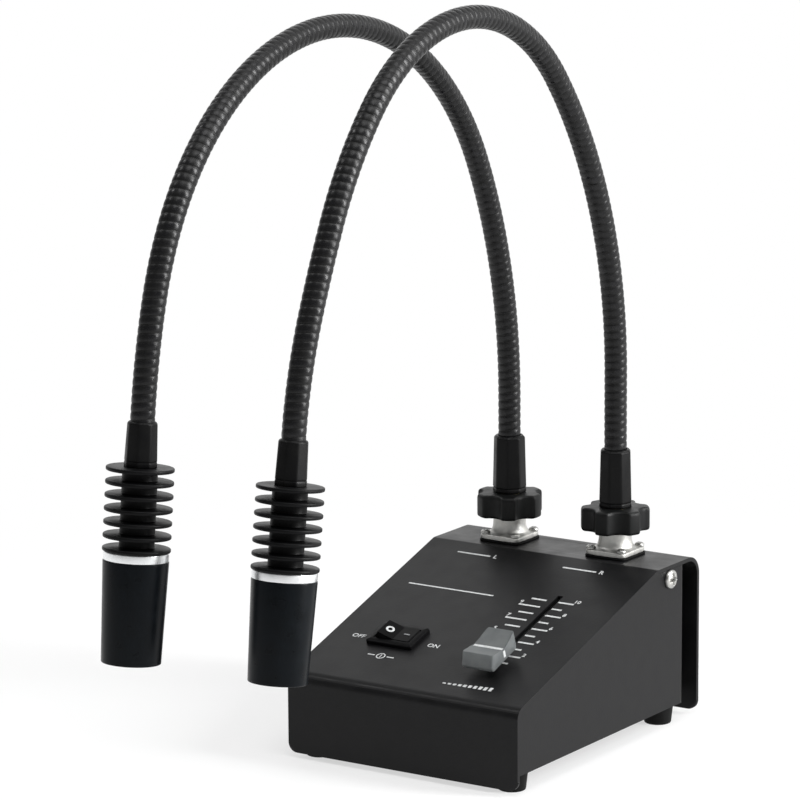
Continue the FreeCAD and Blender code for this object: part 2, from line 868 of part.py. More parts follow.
def square_plate(body, lift, thick, hole):
    """A square plate with round corners, a round hole and four screw holes."""
    half = of("FlangeSide") / 2
    sketch = new_sketch(body, "XY_Plane", lift)
    outline(sketch, box_points(-half, half, -half, half))
    pad(body, sketch, thick)
    softened(body, "Fillet", of("FlangeCorner"), lambda e: runs_along(e, Vector(0, 0, 1)))
    pitch = of("SocketScrewPitch") / 2
    holes = new_sketch(body, "XY_Plane", lift + thick)
    for dx in (-1, 1):
        for dy in (-1, 1):
            ring_line(holes, (pitch * dx, pitch * dy), SOCKET_SCREW_RADIUS + of("ScrewSlack"))
    if hole is not None:
        ring_line(holes, (0, 0), hole)
    pocket(body, holes, thick)


def make_sockets():
    base = REAR_TOP
    seat = base + of("GasketThick")
    top = seat + of("FlangeThick")
    gasket = new_body("Gasket")
    square_plate(gasket, base, of("GasketThick"), of("BarrelRadius") + GAP)
    spots = [at(SOCKET_X * side, SOCKET_Y) for side in SIDES.values()]
    spread("socket_gaskets", gasket, spots)
    for name, side in SIDES.items():
        body = new_body(name + "_socket")
        square_plate(body, seat, of("FlangeThick"), None)
        flare = of("FlangeFlare")
        outer, bore = of("BarrelRadius"), of("BarrelBore")
        section = new_sketch(body, "XZ_Plane")
        profile = [
            (0, of("BarrelTail")),
            (outer, of("BarrelTail")),
            (outer, seat),
            (outer + flare, top),
            (outer + flare * 0.42, top + flare * 0.42),
            (outer, top + flare),
            (outer, of("BarrelTop")),
            (0, of("BarrelTop")),
        ]
        outline(section, profile)
        revolve(body, section)
        inside = new_sketch(body, "XY_Plane", of("BarrelTop"))
        ring_line(inside, (0, 0), bore)
        pocket(body, inside, of("BarrelTop") - of("BarrelTail"))
        keep(name + "_socket", body, at(SOCKET_X * side, SOCKET_Y))
    screw = new_body("SocketScrew")
    sketch = new_sketch(screw, "XZ_Plane")
    length = of("FlangeThick") + of("GasketThick") + GAUGE * 2
    outline(sketch, screw_profile(SOCKET_SCREW_RADIUS, SOCKET_SCREW_HEAD, 1.2, length))
    revolve(screw, sketch)
    pitch = of("SocketScrewPitch") / 2
    places = []
    for side in SIDES.values():
        for dx in (-1, 1):
            for dy in (-1, 1):
                places.append(at(SOCKET_X * side + pitch * dx, SOCKET_Y + pitch * dy, top))
    spread("socket_screws", screw, places)
    insert = new_body("SocketInsert")
    section = new_sketch(insert, "XY_Plane", INSERT_LOW)
    ring_line(section, (0, 0), of("BarrelBore"))
    for x, y in contact_spots():
        ring_line(section, (x, y), CONTACT_RADIUS)
    pad(insert, section, INSERT_HIGH - INSERT_LOW)
    spread("socket_inserts", insert, spots)
    contact = rod("Contact", CONTACT_RADIUS, INSERT_LOW - 4, INSERT_HIGH + 4.5)
    doc.recompute()
    places = []
    for side in SIDES.values():
        for x, y in contact_spots():
            places.append(at(SOCKET_X * side + x, SOCKET_Y + y))
    spread("socket_contacts", contact, places)


def contact_spots():
    ring = of("BarrelBore") * 0.45
    return [(cosine(as_size(a)) * ring, sine(as_size(a)) * ring) for a in (90, 210, 330)]


# Plugs, coupling knobs and boots at the foot of each arm

def make_plugs():
    neck, flange = of("PlugNeck"), of("PlugFlange")
    web_low = of("KnobTop") - of("KnobWeb")
    for name, side in SIDES.items():
        spot = at(SOCKET_X * side, SOCKET_Y)
        body = new_body(name + "_plug")
        section = new_sketch(body, "XZ_Plane")
        nose = of("BarrelBore") - of("ScrewSlack")
        bore = of("NeckBore")
        profile = [
            (bore, INSERT_HIGH + GAP),
            (nose, INSERT_HIGH + GAP),
            (nose, of("BarrelTop") + GAP),
            (flange, of("BarrelTop") + GAP),
            (flange, web_low - GAP),
            (neck, web_low - GAP),
            (neck, PLUG_TOP),
            (bore, PLUG_TOP),
        ]
        outline(section, profile)
        revolve(body, section)
        holes = new_sketch(body, "XY_Plane", INSERT_HIGH + GAP)
        for x, y in contact_spots():
            ring_line(holes, (x, y), CONTACT_RADIUS + of("ScrewSlack"))
        pocket(body, holes, 5.5, upwards=True)
        keep(name + "_plug", body, spot)

        knob = new_body(name + "_knob")
        section = new_sketch(knob, "XZ_Plane")
        thread = of("BarrelRadius") + of("ScrewSlack")
        profile = [
            (thread, of("KnobBottom")),
            (of("KnobRadius"), of("KnobBottom")),
            (of("KnobRadius"), of("KnobTop")),
            (neck + of("ScrewSlack"), of("KnobTop")),
            (neck + of("ScrewSlack"), web_low),
            (thread, web_low),
        ]
        outline(section, profile)
        revolve(knob, section)
        valley = new_sketch(knob, "XY_Plane", of("KnobTop"))
        out = of("KnobRadius") + of("KnobValleyRadius") - of("KnobValleyDepth")
        angle = as_size(KNOB_TURN[name])
        centre = (cosine(angle) * out, sine(angle) * out)
        ring_line(valley, centre, of("KnobValleyRadius"))
        cut = pocket(knob, valley, of("KnobTop") - of("KnobBottom"))
        ring_pattern(knob, cut, KNOB_LOBES)
        softened(knob, "Chamfer", 0.8, lambda e: on_knob_rim(e))
        keep(name + "_knob", knob, spot)

        low = of("KnobTop") + GAP
        high = of("BootTop")
        base = of("BootBaseRadius")
        fit = of("NeckRadius") + of("RunningGap")
        turned(name + "_boot", [
            (neck, low),
            (base, low),
            (base, low + 1.2),
            (base - 0.45, low + 1.7),
            (base - 0.1, low + 2.2),
            (of("BootTopRadius"), high - 0.6),
            (of("BootTopRadius") - 0.6, high),
            (fit, high),
            (fit, PLUG_TOP),
            (neck, PLUG_TOP),
        ], spot)


def on_knob_rim(edge):
    """Edges of a knob's top and bottom outline, outside its bore."""
    box = edge.BoundBox
    level = box.ZMax - box.ZMin < 1e-6
    middle = edge.valueAt((edge.FirstParameter + edge.LastParameter) / 2)
    inner = float(of("KnobRadius") - of("KnobValleyDepth")) - 0.5
    return level and math.hypot(middle.x, middle.y) > inner


# Goosenecks. Each arm lies in one upright plane: it rises from its boot and turns forward and down
# through tangent arcs. A stretch ends in a ball inside the next stretch's cup, where the neck bends.

ARC_COUNT = 6
ELBOW_SHARE = 0.49


def arm_arcs(name):
    """Length and turn of each arc of an arm, from its boot upwards."""
    word = name.capitalize()
    numbers = range(1, ARC_COUNT + 1)
    return tuple((float(of("%sArc%d" % (word, i))), float(of("%sTurn%d" % (word, i)))) for i in numbers)


class Route:
    """The centre line of an arm, as a place for each length from the top of its boot."""

    def __init__(self, name):
        self.x = float(SOCKET_X) * SIDES[name]
        self.arcs = arm_arcs(name)
        self.length = sum(length for length, turn in self.arcs)
        self.elbow = self.length * ELBOW_SHARE
        self.shoulder = float(of("ShoulderAlong"))
        self.wrist = self.length - float(of("WristBack"))

    def place(self, along):
        """Centre at a length, with Z along the neck and X across the arm's plane."""
        y, z, angle = float(SOCKET_Y), float(of("BootTop")), 0.0
        left = along
        for length, turn in self.arcs + ((math.inf, 0.0),):
            step = min(left, length)
            bend = math.radians(turn) * step / length
            if abs(bend) < 1e-9:
                y -= step * math.sin(angle)
                z += step * math.cos(angle)
            else:
                radius = step / bend
                y -= radius * (math.cos(angle) - math.cos(angle + bend))
                z += radius * (math.sin(angle + bend) - math.sin(angle))
            angle += bend
            left -= step
            if left <= 0:
                break
        return Placement(Vector(self.x, y, z), Rotation(Vector(1, 0, 0), math.degrees(angle)))

    def circle(self, along, radius):
        """A circle square to the neck, whose seam lies along the same X axis everywhere."""
        place = self.place(along)
        axis = place.Rotation.multVec(Vector(0, 0, 1))
        circle = Part.Circle(place.Base, axis, radius)
        circle.XAxis = Vector(1, 0, 0)
        return Part.Wire([circle.toShape()])

    def point(self, along):
        return self.place(along).Base


def stations(route, low, high, pitch):
    """Lengths at even steps of about a pitch between two lengths of the neck."""
    count = max(1, round((high - low) / pitch))
    return [low + (high - low) * i / count for i in range(count + 1)]


def ribbed(route, low, high):
    """A ribbed stretch of neck: one ruled loft, four circles to a rib."""
    crest = float(of("NeckRadius"))
    groove = crest - float(of("NeckGroove"))
    ramp = float(of("NeckGroove")) * 1.1
    marks = stations(route, low, high, float(of("WindPitch") * of("TurnsPerRib")))
    wires = [route.circle(marks[0], groove)]
    for start, end in zip(marks, marks[1:]):
        wires.append(route.circle(start + ramp, crest))
        wires.append(route.circle(end - ramp, crest))
        wires.append(route.circle(end, groove))
    return Part.makeLoft(wires, True, True)


def drilled_through(route, solid, radius, low, high):
    """Bores a solid along the neck between two lengths."""
    marks = stations(route, low, high, float(of("WindPitch") * of("TurnsPerRib")))
    core = Part.makeLoft([route.circle(mark, radius) for mark in marks], True, True)
    return solid.cut(core)


def neck_stretch(name, label, low, high, cup, ball):
    """One rigid stretch of neck, with a cup at its low end or a ball at its high end."""
    route = ROUTES[name]
    crest = float(of("NeckRadius"))
    groove = crest - float(of("NeckGroove"))
    gap = float(of("BallGap"))
    ball_radius = groove - gap
    cup_lip = float(of("CupLip")) if cup else 0.0
    shoulder = float(of("BallShoulder")) if ball else 0.0
    solid = ribbed(route, low + cup_lip, high - shoulder)
    if ball:
        end = route.place(high)
        ahead = end.Rotation.multVec(Vector(0, 0, 1))
        stem = Part.makeCylinder(ball_radius * 0.92, shoulder + 0.5, end.Base, -ahead)
        solid = solid.fuse([stem, Part.makeSphere(ball_radius, end.Base, ahead)])
    if cup:
        start = route.place(low)
        ahead = start.Rotation.multVec(Vector(0, 0, 1))
        solid = solid.cut(Part.makeSphere(groove, start.Base, ahead))
    tip = high + ball_radius + 1 if ball else high
    solid = drilled_through(route, solid, float(of("NeckBore")), low - 1, tip)
    piece = doc.addObject("Part::Feature", label)
    piece.Shape = solid
    keep(label, piece)


def lead_stretch(name, label, low, high):
    """The cable that lies in one stretch of neck."""
    route = ROUTES[name]
    marks = stations(route, low, high, float(of("WindPitch") * of("TurnsPerRib")) / 2)
    radius = float(of("LeadRadius"))
    piece = doc.addObject("Part::Feature", label)
    piece.Shape = Part.makeLoft([route.circle(mark, radius) for mark in marks], True, True)
    keep(label, piece)


def make_necks():
    for name in SIDES:
        route = ROUTES[name]
        shoulder, elbow, wrist = route.shoulder, route.elbow, route.wrist
        tail = float(of("NeckTail"))
        clear = float(of("NeckRadius"))
        neck_stretch(name, name + "_neck_root", -tail, shoulder, False, True)
        neck_stretch(name, name + "_neck_riser", shoulder, elbow, True, True)
        neck_stretch(name, name + "_neck_drop", elbow, wrist, True, True)
        neck_stretch(name, name + "_neck_tip", wrist, route.length + float(of("HeadGrip")), True, False)
        lead_stretch(name, name + "_lead_riser", shoulder + clear, elbow - clear)
        lead_stretch(name, name + "_lead_drop", elbow + clear, wrist - clear)


# Lamp heads, drawn along Z with the boot's top at Z = 0 and the hood's mouth down

def make_heads():
    sink_top = -of("HeadBootLength")
    sink_low = sink_top - of("FinStack")
    ring_top = sink_low - of("RingNeck")
    ring_low = ring_top - of("RingHeight")
    mouth = ring_low - of("HoodLength")
    wall = of("HoodWall")
    core = of("SinkCore")
    count = int(round(float(of("FinCount"))))
    pitch = (of("FinStack") - of("FinThick")) / (count - 1)
    board_radius = of("LensRadius") - 0.6
    for name in SIDES:
        route = ROUTES[name]
        place = route.place(route.length)
        # The neck's Z runs on into the head, so the head is turned end for end about X
        place = place.multiply(Placement(Vector(), Rotation(Vector(1, 0, 0), 180)))
        fit = of("NeckRadius") + of("RunningGap")
        turned(name + "_head_boot", [
            (fit, sink_top),
            (of("HeadBootBase"), sink_top),
            (of("HeadBootBase"), sink_top + 1.6),
            (of("HeadBootBase") - 0.4, sink_top + 2.1),
            (of("HeadBootTop"), -0.6),
            (of("HeadBootTop") - 0.5, 0),
            (fit, 0),
        ], place)
        fins = [(fit, sink_top - 5), (fit, sink_top)]
        for i in range(count):
            fin_top = sink_top - pitch * i
            fin_low = fin_top - of("FinThick")
            if i:
                fins.append((core, fin_top))
            fins += [(of("FinRadius"), fin_top), (of("FinRadius"), fin_low), (core, fin_low)]
        fins.pop()
        spigot = of("LensRadius")
        fins += [(spigot, sink_low), (spigot, ring_low), (0, ring_low), (0, sink_top - 5)]
        turned(name + "_heat_sink", fins, place)
        turned(name + "_clamp_ring", [
            (spigot, ring_low),
            (of("RingRadius") - 0.4, ring_low),
            (of("RingRadius"), ring_low + 0.4),
            (of("RingRadius"), ring_top - 0.4),
            (of("RingRadius") - 0.4, ring_top),
            (of("RingRadius") - 0.4, sink_low),
            (spigot, sink_low),
        ], place)
        lens_front = mouth + of("LensSetback")
        lens_back = lens_front + 3
        seat = of("LensRadius")
        board_low = ring_low - of("BoardGauge")
        turned(name + "_hood", [
            (board_radius + GAP, ring_low),
            (of("HoodTopRadius") - 0.3, ring_low),
            (of("HoodTopRadius"), ring_low - 0.3),
            (of("HoodMouthRadius"), mouth),
            (of("HoodMouthRadius") - wall, mouth),
            (of("HoodMouthRadius") - wall, lens_front - 1),
            (seat - 0.8, lens_front - 1),
            (seat - 0.8, lens_front),
            (seat, lens_front),
            (seat, board_low),
            (board_radius + GAP, board_low),
        ], place)
        turned(name + "_led_board", [
            (0, board_low),
            (board_radius, board_low),
            (board_radius, ring_low),
            (0, ring_low),
        ], place)
        dome = 2.4
        turned(name + "_led", [
            (0, board_low - dome),
            (dome * 0.5, board_low - dome * 0.87),
            (dome * 0.87, board_low - dome * 0.5),
            (dome, board_low),
            (0, board_low),
        ], place)
        turned(name + "_lens", [
            (0, lens_front),
            (seat - of("RunningGap"), lens_front),
            (seat - of("RunningGap"), lens_back),
            (dome * 1.7, board_low - 0.2),
            (dome * 1.3, board_low - 0.2),
            (dome * 1.3, board_low - dome * 2),
            (0, board_low - dome * 2),
        ], place)


# Driver board, its pillars, screws and parts, and the power inlet

def make_electronics():
    top = DECK + of("BoardLift")
    half, deep = of("BoardWidth") / 2, of("BoardDepth") / 2
    body = new_body("driver_board")
    sketch = new_sketch(body, "XY_Plane", top)
    outline(sketch, box_points(-half, half, BOARD_Y - deep, BOARD_Y + deep))
    for x, y in board_spots():
        ring_line(sketch, (x, y), BOARD_SCREW_RADIUS + of("ScrewSlack"))
    pad(body, sketch, of("BoardGauge"))
    keep("driver_board", body)
    pillar = new_body("Pillar")
    section = new_sketch(pillar, "XY_Plane", DECK)
    ring_line(section, (0, 0), BOARD_SCREW_RADIUS * 2)
    ring_line(section, (0, 0), BOARD_SCREW_RADIUS)
    pad(pillar, section, of("BoardLift"))
    spread("board_pillars", pillar, [at(x, y) for x, y in board_spots()])
    screw = new_body("BoardScrew")
    sketch = new_sketch(screw, "XZ_Plane")
    length = of("BoardGauge") + of("BoardLift") + GAUGE
    outline(sketch, screw_profile(BOARD_SCREW_RADIUS, BOARD_SCREW_RADIUS * 1.9, 1.6, length))
    revolve(screw, sketch)
    seat = top + of("BoardGauge")
    spread("board_screws", screw, [at(x, y, seat) for x, y in board_spots()])
    parts = [
        rod("Capacitor", 5, seat, seat + 12, half * -0.65, BOARD_Y + deep * 0.45),
        rod("Inductor", 6, seat, seat + 7, half * -0.2, BOARD_Y + deep * 0.45),
        block(
            "Regulator", half * 0.3, half * 0.55,
            BOARD_Y + deep * 0.26, BOARD_Y + deep * 0.58, seat, seat + 3,
        ),
        block(
            "Connector", half * -0.35, half * 0.35,
            BOARD_Y - deep * 0.84, BOARD_Y - deep * 0.65, seat, seat + 6,
        ),
    ]
    group("board_parts", parts)

    radius, bore = of("InletRadius"), of("InletBore")
    rear = Rotation(Vector(1, 0, 0), -90)
    place = at(of("InletX"), DEPTH, of("InletHeight"), rear)
    turned("power_inlet", [
        (bore, 1.4),
        (radius + 1.4, 1.4),
        (radius + 1.7, 1.1),
        (radius + 1.7, 0),
        (radius, 0),
        (radius, -12.5),
        (0, -12.5),
        (0, -2),
        (INLET_PIN_RADIUS, -2),
        (INLET_PIN_RADIUS, -11),
        (bore, -11),
    ], place)
    nut = new_body("inlet_nut")
    sketch = new_sketch(nut, "XY_Plane", -GAUGE)
    across = radius + 2
    angles = [as_size(360 / NUT_SIDES * i) for i in range(NUT_SIDES)]
    corners = [(cosine(angle) * across, sine(angle) * across) for angle in angles]
    outline(sketch, corners)
    ring_line(sketch, (0, 0), radius)
    pad(nut, sketch, 2.2, downwards=True)
    keep("inlet_nut", nut, place)


SOCKET_SCREW_RADIUS = as_size(1.0)
SOCKET_SCREW_HEAD = as_size(1.6)
BOARD_SCREW_RADIUS = as_size(1.4)
BOARD_EDGE = as_size(4.0)
STUD_RADIUS = as_size(1.25)
CONTACT_RADIUS = as_size(0.6)
INLET_PIN_RADIUS = as_size(1.0)
CAP_SOCKET = as_size(3.6)
BOARD_Y = SLOPE_END * 0.62
INSERT_LOW = of("BarrelTail") + 1.5
INSERT_HIGH = INSERT_LOW + 8
PLUG_TOP = of("BootTop") - of("NeckTail") - GAP
KNOB_TURN = {"left": 30, "right": 6}
KNOB_LOBES = 6
NUT_SIDES = 6
ROUTES = {name: Route(name) for name in SIDES}

make_cover()
make_chassis()
make_case_fasteners()
make_feet()
make_switch()
make_fader()
make_sockets()
make_plugs()
make_necks()
make_heads()
make_electronics()
doc.recompute()

# Every object is sound before anything is moved or written
for thing in doc.Objects:
    if "Invalid" in thing.State or "Error" in thing.State:
        raise RuntimeError("%s failed: %s" % (thing.Name, thing.State))
whole = FreeCAD.BoundBox()
for label, piece in PIECES.items():
    if piece.Shape.isNull() or not piece.Shape.isValid():
        raise RuntimeError("%s has no valid shape" % label)
    whole.add(piece.Shape.BoundBox)

# The origin goes under the middle of the whole part's box
shift = Vector(-whole.Center.x, -whole.Center.y, 0)
os.makedirs("parts", exist_ok=True)
for label, piece in PIECES.items():
    shape = piece.Shape.copy()
    shape.translate(shift)
    shape.exportStep("parts/%s.step" % label)

print("pieces %d, box %.2f %.2f %.2f, shift %.4f %.4f" % (
    len(PIECES), whole.XLength, whole.YLength, whole.ZLength, shift.x, shift.y))
for name, route in ROUTES.items():
    for joint, along in (("root", 0), ("shoulder", route.shoulder), ("elbow", route.elbow),
                         ("wrist", route.wrist), ("head", route.length)):
        spot = route.point(along) + shift
        turn = route.place(along).Rotation.multVec(Vector(0, 0, 1))
        print("%s_%s %.4f %.4f %.4f direction %.5f %.5f" % (
            name, joint, spot.x, spot.y, spot.z, turn.y, turn.z))
pin = slope_place(of("SwitchX"), of("SwitchAlong"), -of("RockerPivotDrop")).Base + shift
print("rocker_pin %.4f %.4f %.4f slope %.5f" % (pin.x, pin.y, pin.z, float(SLOPE)))
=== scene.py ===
import math

import bmesh
import bpy
import numpy as np
from mathutils import Matrix, Vector


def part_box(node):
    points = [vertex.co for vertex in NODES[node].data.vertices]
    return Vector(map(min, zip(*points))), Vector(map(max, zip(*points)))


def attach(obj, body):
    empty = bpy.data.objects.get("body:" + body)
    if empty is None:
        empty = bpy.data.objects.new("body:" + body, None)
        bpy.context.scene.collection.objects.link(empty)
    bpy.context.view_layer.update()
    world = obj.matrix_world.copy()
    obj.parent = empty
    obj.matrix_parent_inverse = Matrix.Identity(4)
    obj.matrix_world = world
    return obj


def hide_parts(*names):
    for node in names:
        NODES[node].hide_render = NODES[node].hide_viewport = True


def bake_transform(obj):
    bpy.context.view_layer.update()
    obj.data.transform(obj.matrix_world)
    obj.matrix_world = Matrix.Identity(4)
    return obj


# Twin gooseneck spot light: a black sheet-steel box with a rocker and an intensity fader, and two
# plug-in arms with finned lamp heads. Shapes are worked out in millimetres in the frame's own axes.

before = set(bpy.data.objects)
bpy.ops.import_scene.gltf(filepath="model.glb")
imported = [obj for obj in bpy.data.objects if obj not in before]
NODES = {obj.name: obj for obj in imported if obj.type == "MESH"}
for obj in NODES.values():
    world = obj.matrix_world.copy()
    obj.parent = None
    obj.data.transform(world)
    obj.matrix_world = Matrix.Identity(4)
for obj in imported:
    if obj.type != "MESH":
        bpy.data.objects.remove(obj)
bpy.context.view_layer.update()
MM = 0.001
SIDES = {"left": -1.0, "right": 1.0}


def low_corner(node):
    return np.array(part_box(node)[0]) / MM


def high_corner(node):
    return np.array(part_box(node)[1]) / MM


# Places that the frame gives

SOCKET_X = float(low_corner("right_boot")[0] + high_corner("right_boot")[0]) / 2
SOCKET_Y = float(low_corner("right_boot")[1] + high_corner("right_boot")[1]) / 2
BOOT_TOP = float(high_corner("right_boot")[2])
KNOB_LOW = float(low_corner("right_knob")[2])
KNOB_TOP = float(high_corner("right_knob")[2])
DECK = float(low_corner("socket_gaskets")[2])
FLANGE_LOW = float(high_corner("socket_gaskets")[2])
FRONT_Y = float(low_corner("cover")[1])
FRONT_HEIGHT = 34.0
BOX_DEPTH = 138.0
DECK_DEPTH = 32.5
SLOPE = math.atan2(DECK - FRONT_HEIGHT, BOX_DEPTH - DECK_DEPTH)

# The sloped panel's own axes: X across, then along the slope from its front edge, then off it
ALONG = np.array([0, math.cos(SLOPE), math.sin(SLOPE)])
OFF = np.array([0, -math.sin(SLOPE), math.cos(SLOPE)])
ACROSS = np.array([1.0, 0, 0])
PANEL = (np.array([0, FRONT_Y, FRONT_HEIGHT]), ACROSS, ALONG, OFF)
UPRIGHT = (np.zeros(3), ACROSS, np.array([0, 1.0, 0]), np.array([0, 0, 1.0]))


def moved(place, x, y, z):
    """A place whose origin is shifted along its own three axes."""
    origin, across, along, off = place
    return (origin + x * across + y * along + z * off, across, along, off)


def in_place(place, points):
    """Points given along a place's three axes, as points of the frame."""
    origin, across, along, off = place
    return origin + points[..., :1] * across + points[..., 1:2] * along + points[..., 2:] * off


# Materials

def linear(text):
    """A colour written as sRGB hex, as the linear light that shaders use."""
    values = np.array([int(text[i:i + 2], 16) for i in (0, 2, 4)]) / 255
    low = values / 12.92
    high = ((values + 0.055) / 1.055) ** 2.4
    return (*np.where(values <= 0.04045, low, high).tolist(), 1.0)


def add(tree, kind, inputs=(), **settings):
    """Adds a node with its settings, and feeds its inputs from numbers or from other nodes' outputs."""
    node = tree.nodes.new(kind)
    for name, value in settings.items():
        setattr(node, name, value)
    for name, source in dict(inputs).items():
        if isinstance(source, bpy.types.NodeSocket):
            tree.links.new(source, node.inputs[name])
        else:
            node.inputs[name].default_value = source
    return node


def blank(name):
    """A material with only the object's coordinates in metres."""
    material = bpy.data.materials.new(name)
    material.use_nodes = True
    tree = material.node_tree
    tree.nodes.clear()
    place = add(tree, "ShaderNodeTexCoord").outputs["Object"]
    return material, tree, place


def mottled(name, dark, light, mottle_mm, rough, relief, specular=0.5, metallic=0.0, drawn=1.0):
    """A surface whose tone and roughness drift together with one noise. A finer noise, which may be drawn
    out round the upright axis, gives its relief: relief is that noise's size and depth in millimetres."""
    material, tree, place = blank(name)
    mottle = add(tree, "ShaderNodeTexNoise", {
        "Vector": place, "Scale": 1 / (mottle_mm * MM), "Detail": 3.0})
    share = add(tree, "ShaderNodeMapRange", {
        "Value": mottle.outputs["Fac"], "From Min": 0.35, "From Max": 0.65})
    tone = add(tree, "ShaderNodeMix", {
        0: share.outputs["Result"], 6: linear(dark), 7: linear(light)}, data_type="RGBA")
    gloss = add(tree, "ShaderNodeMapRange", {
        "Value": share.outputs["Result"], "To Min": rough[0], "To Max": rough[1]})
    lie = add(tree, "ShaderNodeMapping", {"Vector": place, "Scale": (1.0, 1.0, drawn)})
    peel = add(tree, "ShaderNodeTexNoise", {
        "Vector": lie.outputs["Vector"], "Scale": 1 / (relief[0] * MM), "Detail": 2.0})
    bump = add(tree, "ShaderNodeBump", {"Height": peel.outputs["Fac"], "Distance": relief[1] * MM})
    shader = add(tree, "ShaderNodeBsdfPrincipled", {
        "Base Color": tone.outputs[2], "Roughness": gloss.outputs["Result"],
        "Normal": bump.outputs["Normal"], "Specular IOR Level": specular, "Metallic": metallic})
    add(tree, "ShaderNodeOutputMaterial", {"Surface": shader.outputs["BSDF"]})
    return material


def powder_coat(name, dark, light):
    # Polyester powder coat on sheet steel, baked to a fine orange peel: highlights are wide and soft, and a
    # low view brings up a grey sheen. The real peel of 0.3 mm is drawn at 0.7 mm, to show at all.
    return mottled(name, dark, light, 9.0, (0.36, 0.44), (0.7, 0.03), specular=0.17)


def moulded(name, dark, light, rough, specular):
    # Injection-moulded plastic from a spark-eroded mould: an even fine grain dulls its gloss
    return mottled(name, dark, light, 6.0, (rough - 0.05, rough + 0.05), (0.5, 0.014), specular=specular)


def soft_rubber(name, dark, light):
    # Moulded rubber or soft vinyl: nearly no gloss, and a dusty bloom that lightens it in patches
    return mottled(name, dark, light, 4.0, (0.5, 0.7), (0.4, 0.01), specular=0.1)


def anodised(name, dark, light, rough, specular):
    # Black anodised aluminium, turned and then etched: a deep satin, and a faint trace of the tool round it
    return mottled(name, dark, light, 7.0, (rough - 0.03, rough + 0.05), (0.9, 0.004),
                   specular=specular, drawn=6.0)


def bright_metal(name, dark, light, rough, line_mm):
    # Bare or plated metal, turned or rolled: full reflections, drawn out round it by fine tool lines
    return mottled(name, dark, light, 3.0, (rough - 0.06, rough + 0.08), (line_mm, 0.005),
                   metallic=1.0, drawn=12.0)


def wound_coat(name):
    # Black oxide and lacquer on wound spring steel: satin. Crests are painted lighter and grooves darker,
    # in patches: partly wear, partly painted sheen on the crests and painted shade in the grooves
    material, tree, place = blank(name)
    crest = add(tree, "ShaderNodeAttribute", attribute_name="crest")
    patches = add(tree, "ShaderNodeTexNoise", {"Vector": place, "Scale": 1 / (3.0 * MM), "Detail": 4.0})
    # Crest times patches: the lighter crests and darker grooves are partly wear, partly painted sheen and
    # painted groove shade
    crest_sheen_and_wear = add(tree, "ShaderNodeMath", {
        0: crest.outputs["Fac"], 1: patches.outputs["Fac"]}, operation="MULTIPLY")
    share = add(tree, "ShaderNodeMapRange", {
        "Value": crest_sheen_and_wear.outputs["Value"], "From Min": 0.25, "From Max": 0.65})
    tone = add(tree, "ShaderNodeMix", {
        0: share.outputs["Result"], 6: linear("020202"), 7: linear("121214")}, data_type="RGBA")
    gloss = add(tree, "ShaderNodeMapRange", {
        "Value": share.outputs["Result"], "To Min": 0.5, "To Max": 0.24})
    pores = add(tree, "ShaderNodeTexNoise", {"Vector": place, "Scale": 1 / (0.5 * MM), "Detail": 2.0})
    bump = add(tree, "ShaderNodeBump", {"Height": pores.outputs["Fac"], "Distance": 0.008 * MM})
    shader = add(tree, "ShaderNodeBsdfPrincipled", {
        "Base Color": tone.outputs[2], "Roughness": gloss.outputs["Result"],
        "Normal": bump.outputs["Normal"], "Specular IOR Level": 0.3})
    add(tree, "ShaderNodeOutputMaterial", {"Surface": shader.outputs["BSDF"]})
    return material


def screen_ink(name, dark, light):
    # Screen-printed white epoxy ink: matt, and a little thin and uneven over the coat's peel
    return mottled(name, dark, light, 0.8, (0.52, 0.62), (0.5, 0.006), specular=0.3)


def circuit_laminate(name):
    # Glass-epoxy board under green solder mask, with the edges of its tracks just showing
    material, tree, place = blank(name)
    tracks = add(tree, "ShaderNodeTexVoronoi", {
        "Vector": place, "Scale": 1 / (5.0 * MM)}, distance="MANHATTAN")
    share = add(tree, "ShaderNodeMapRange", {
        "Value": tracks.outputs["Distance"], "From Min": 0.3, "From Max": 0.36})
    tone = add(tree, "ShaderNodeMix", {
        0: share.outputs["Result"], 6: linear("0f4a2c"), 7: linear("176038")}, data_type="RGBA")
    bump = add(tree, "ShaderNodeBump", {"Height": share.outputs["Result"], "Distance": 0.02 * MM})
    shader = add(tree, "ShaderNodeBsdfPrincipled", {
        "Base Color": tone.outputs[2], "Roughness": 0.35, "Normal": bump.outputs["Normal"]})
    add(tree, "ShaderNodeOutputMaterial", {"Surface": shader.outputs["BSDF"]})
    return material


def clear_acrylic(name):
    # Polished acrylic lens: clear, with a trace of moulding haze in its gloss
    material, tree, place = blank(name)
    haze = add(tree, "ShaderNodeTexNoise", {"Vector": place, "Scale": 1 / (3.0 * MM), "Detail": 2.0})
    gloss = add(tree, "ShaderNodeMapRange", {"Value": haze.outputs["Fac"], "To Min": 0.02, "To Max": 0.07})
    shader = add(tree, "ShaderNodeBsdfPrincipled", {
        "Base Color": linear("f4f6f6"), "Roughness": gloss.outputs["Result"],
        "Transmission Weight": 1.0, "IOR": 1.49})
    add(tree, "ShaderNodeOutputMaterial", {"Surface": shader.outputs["BSDF"]})
    return material


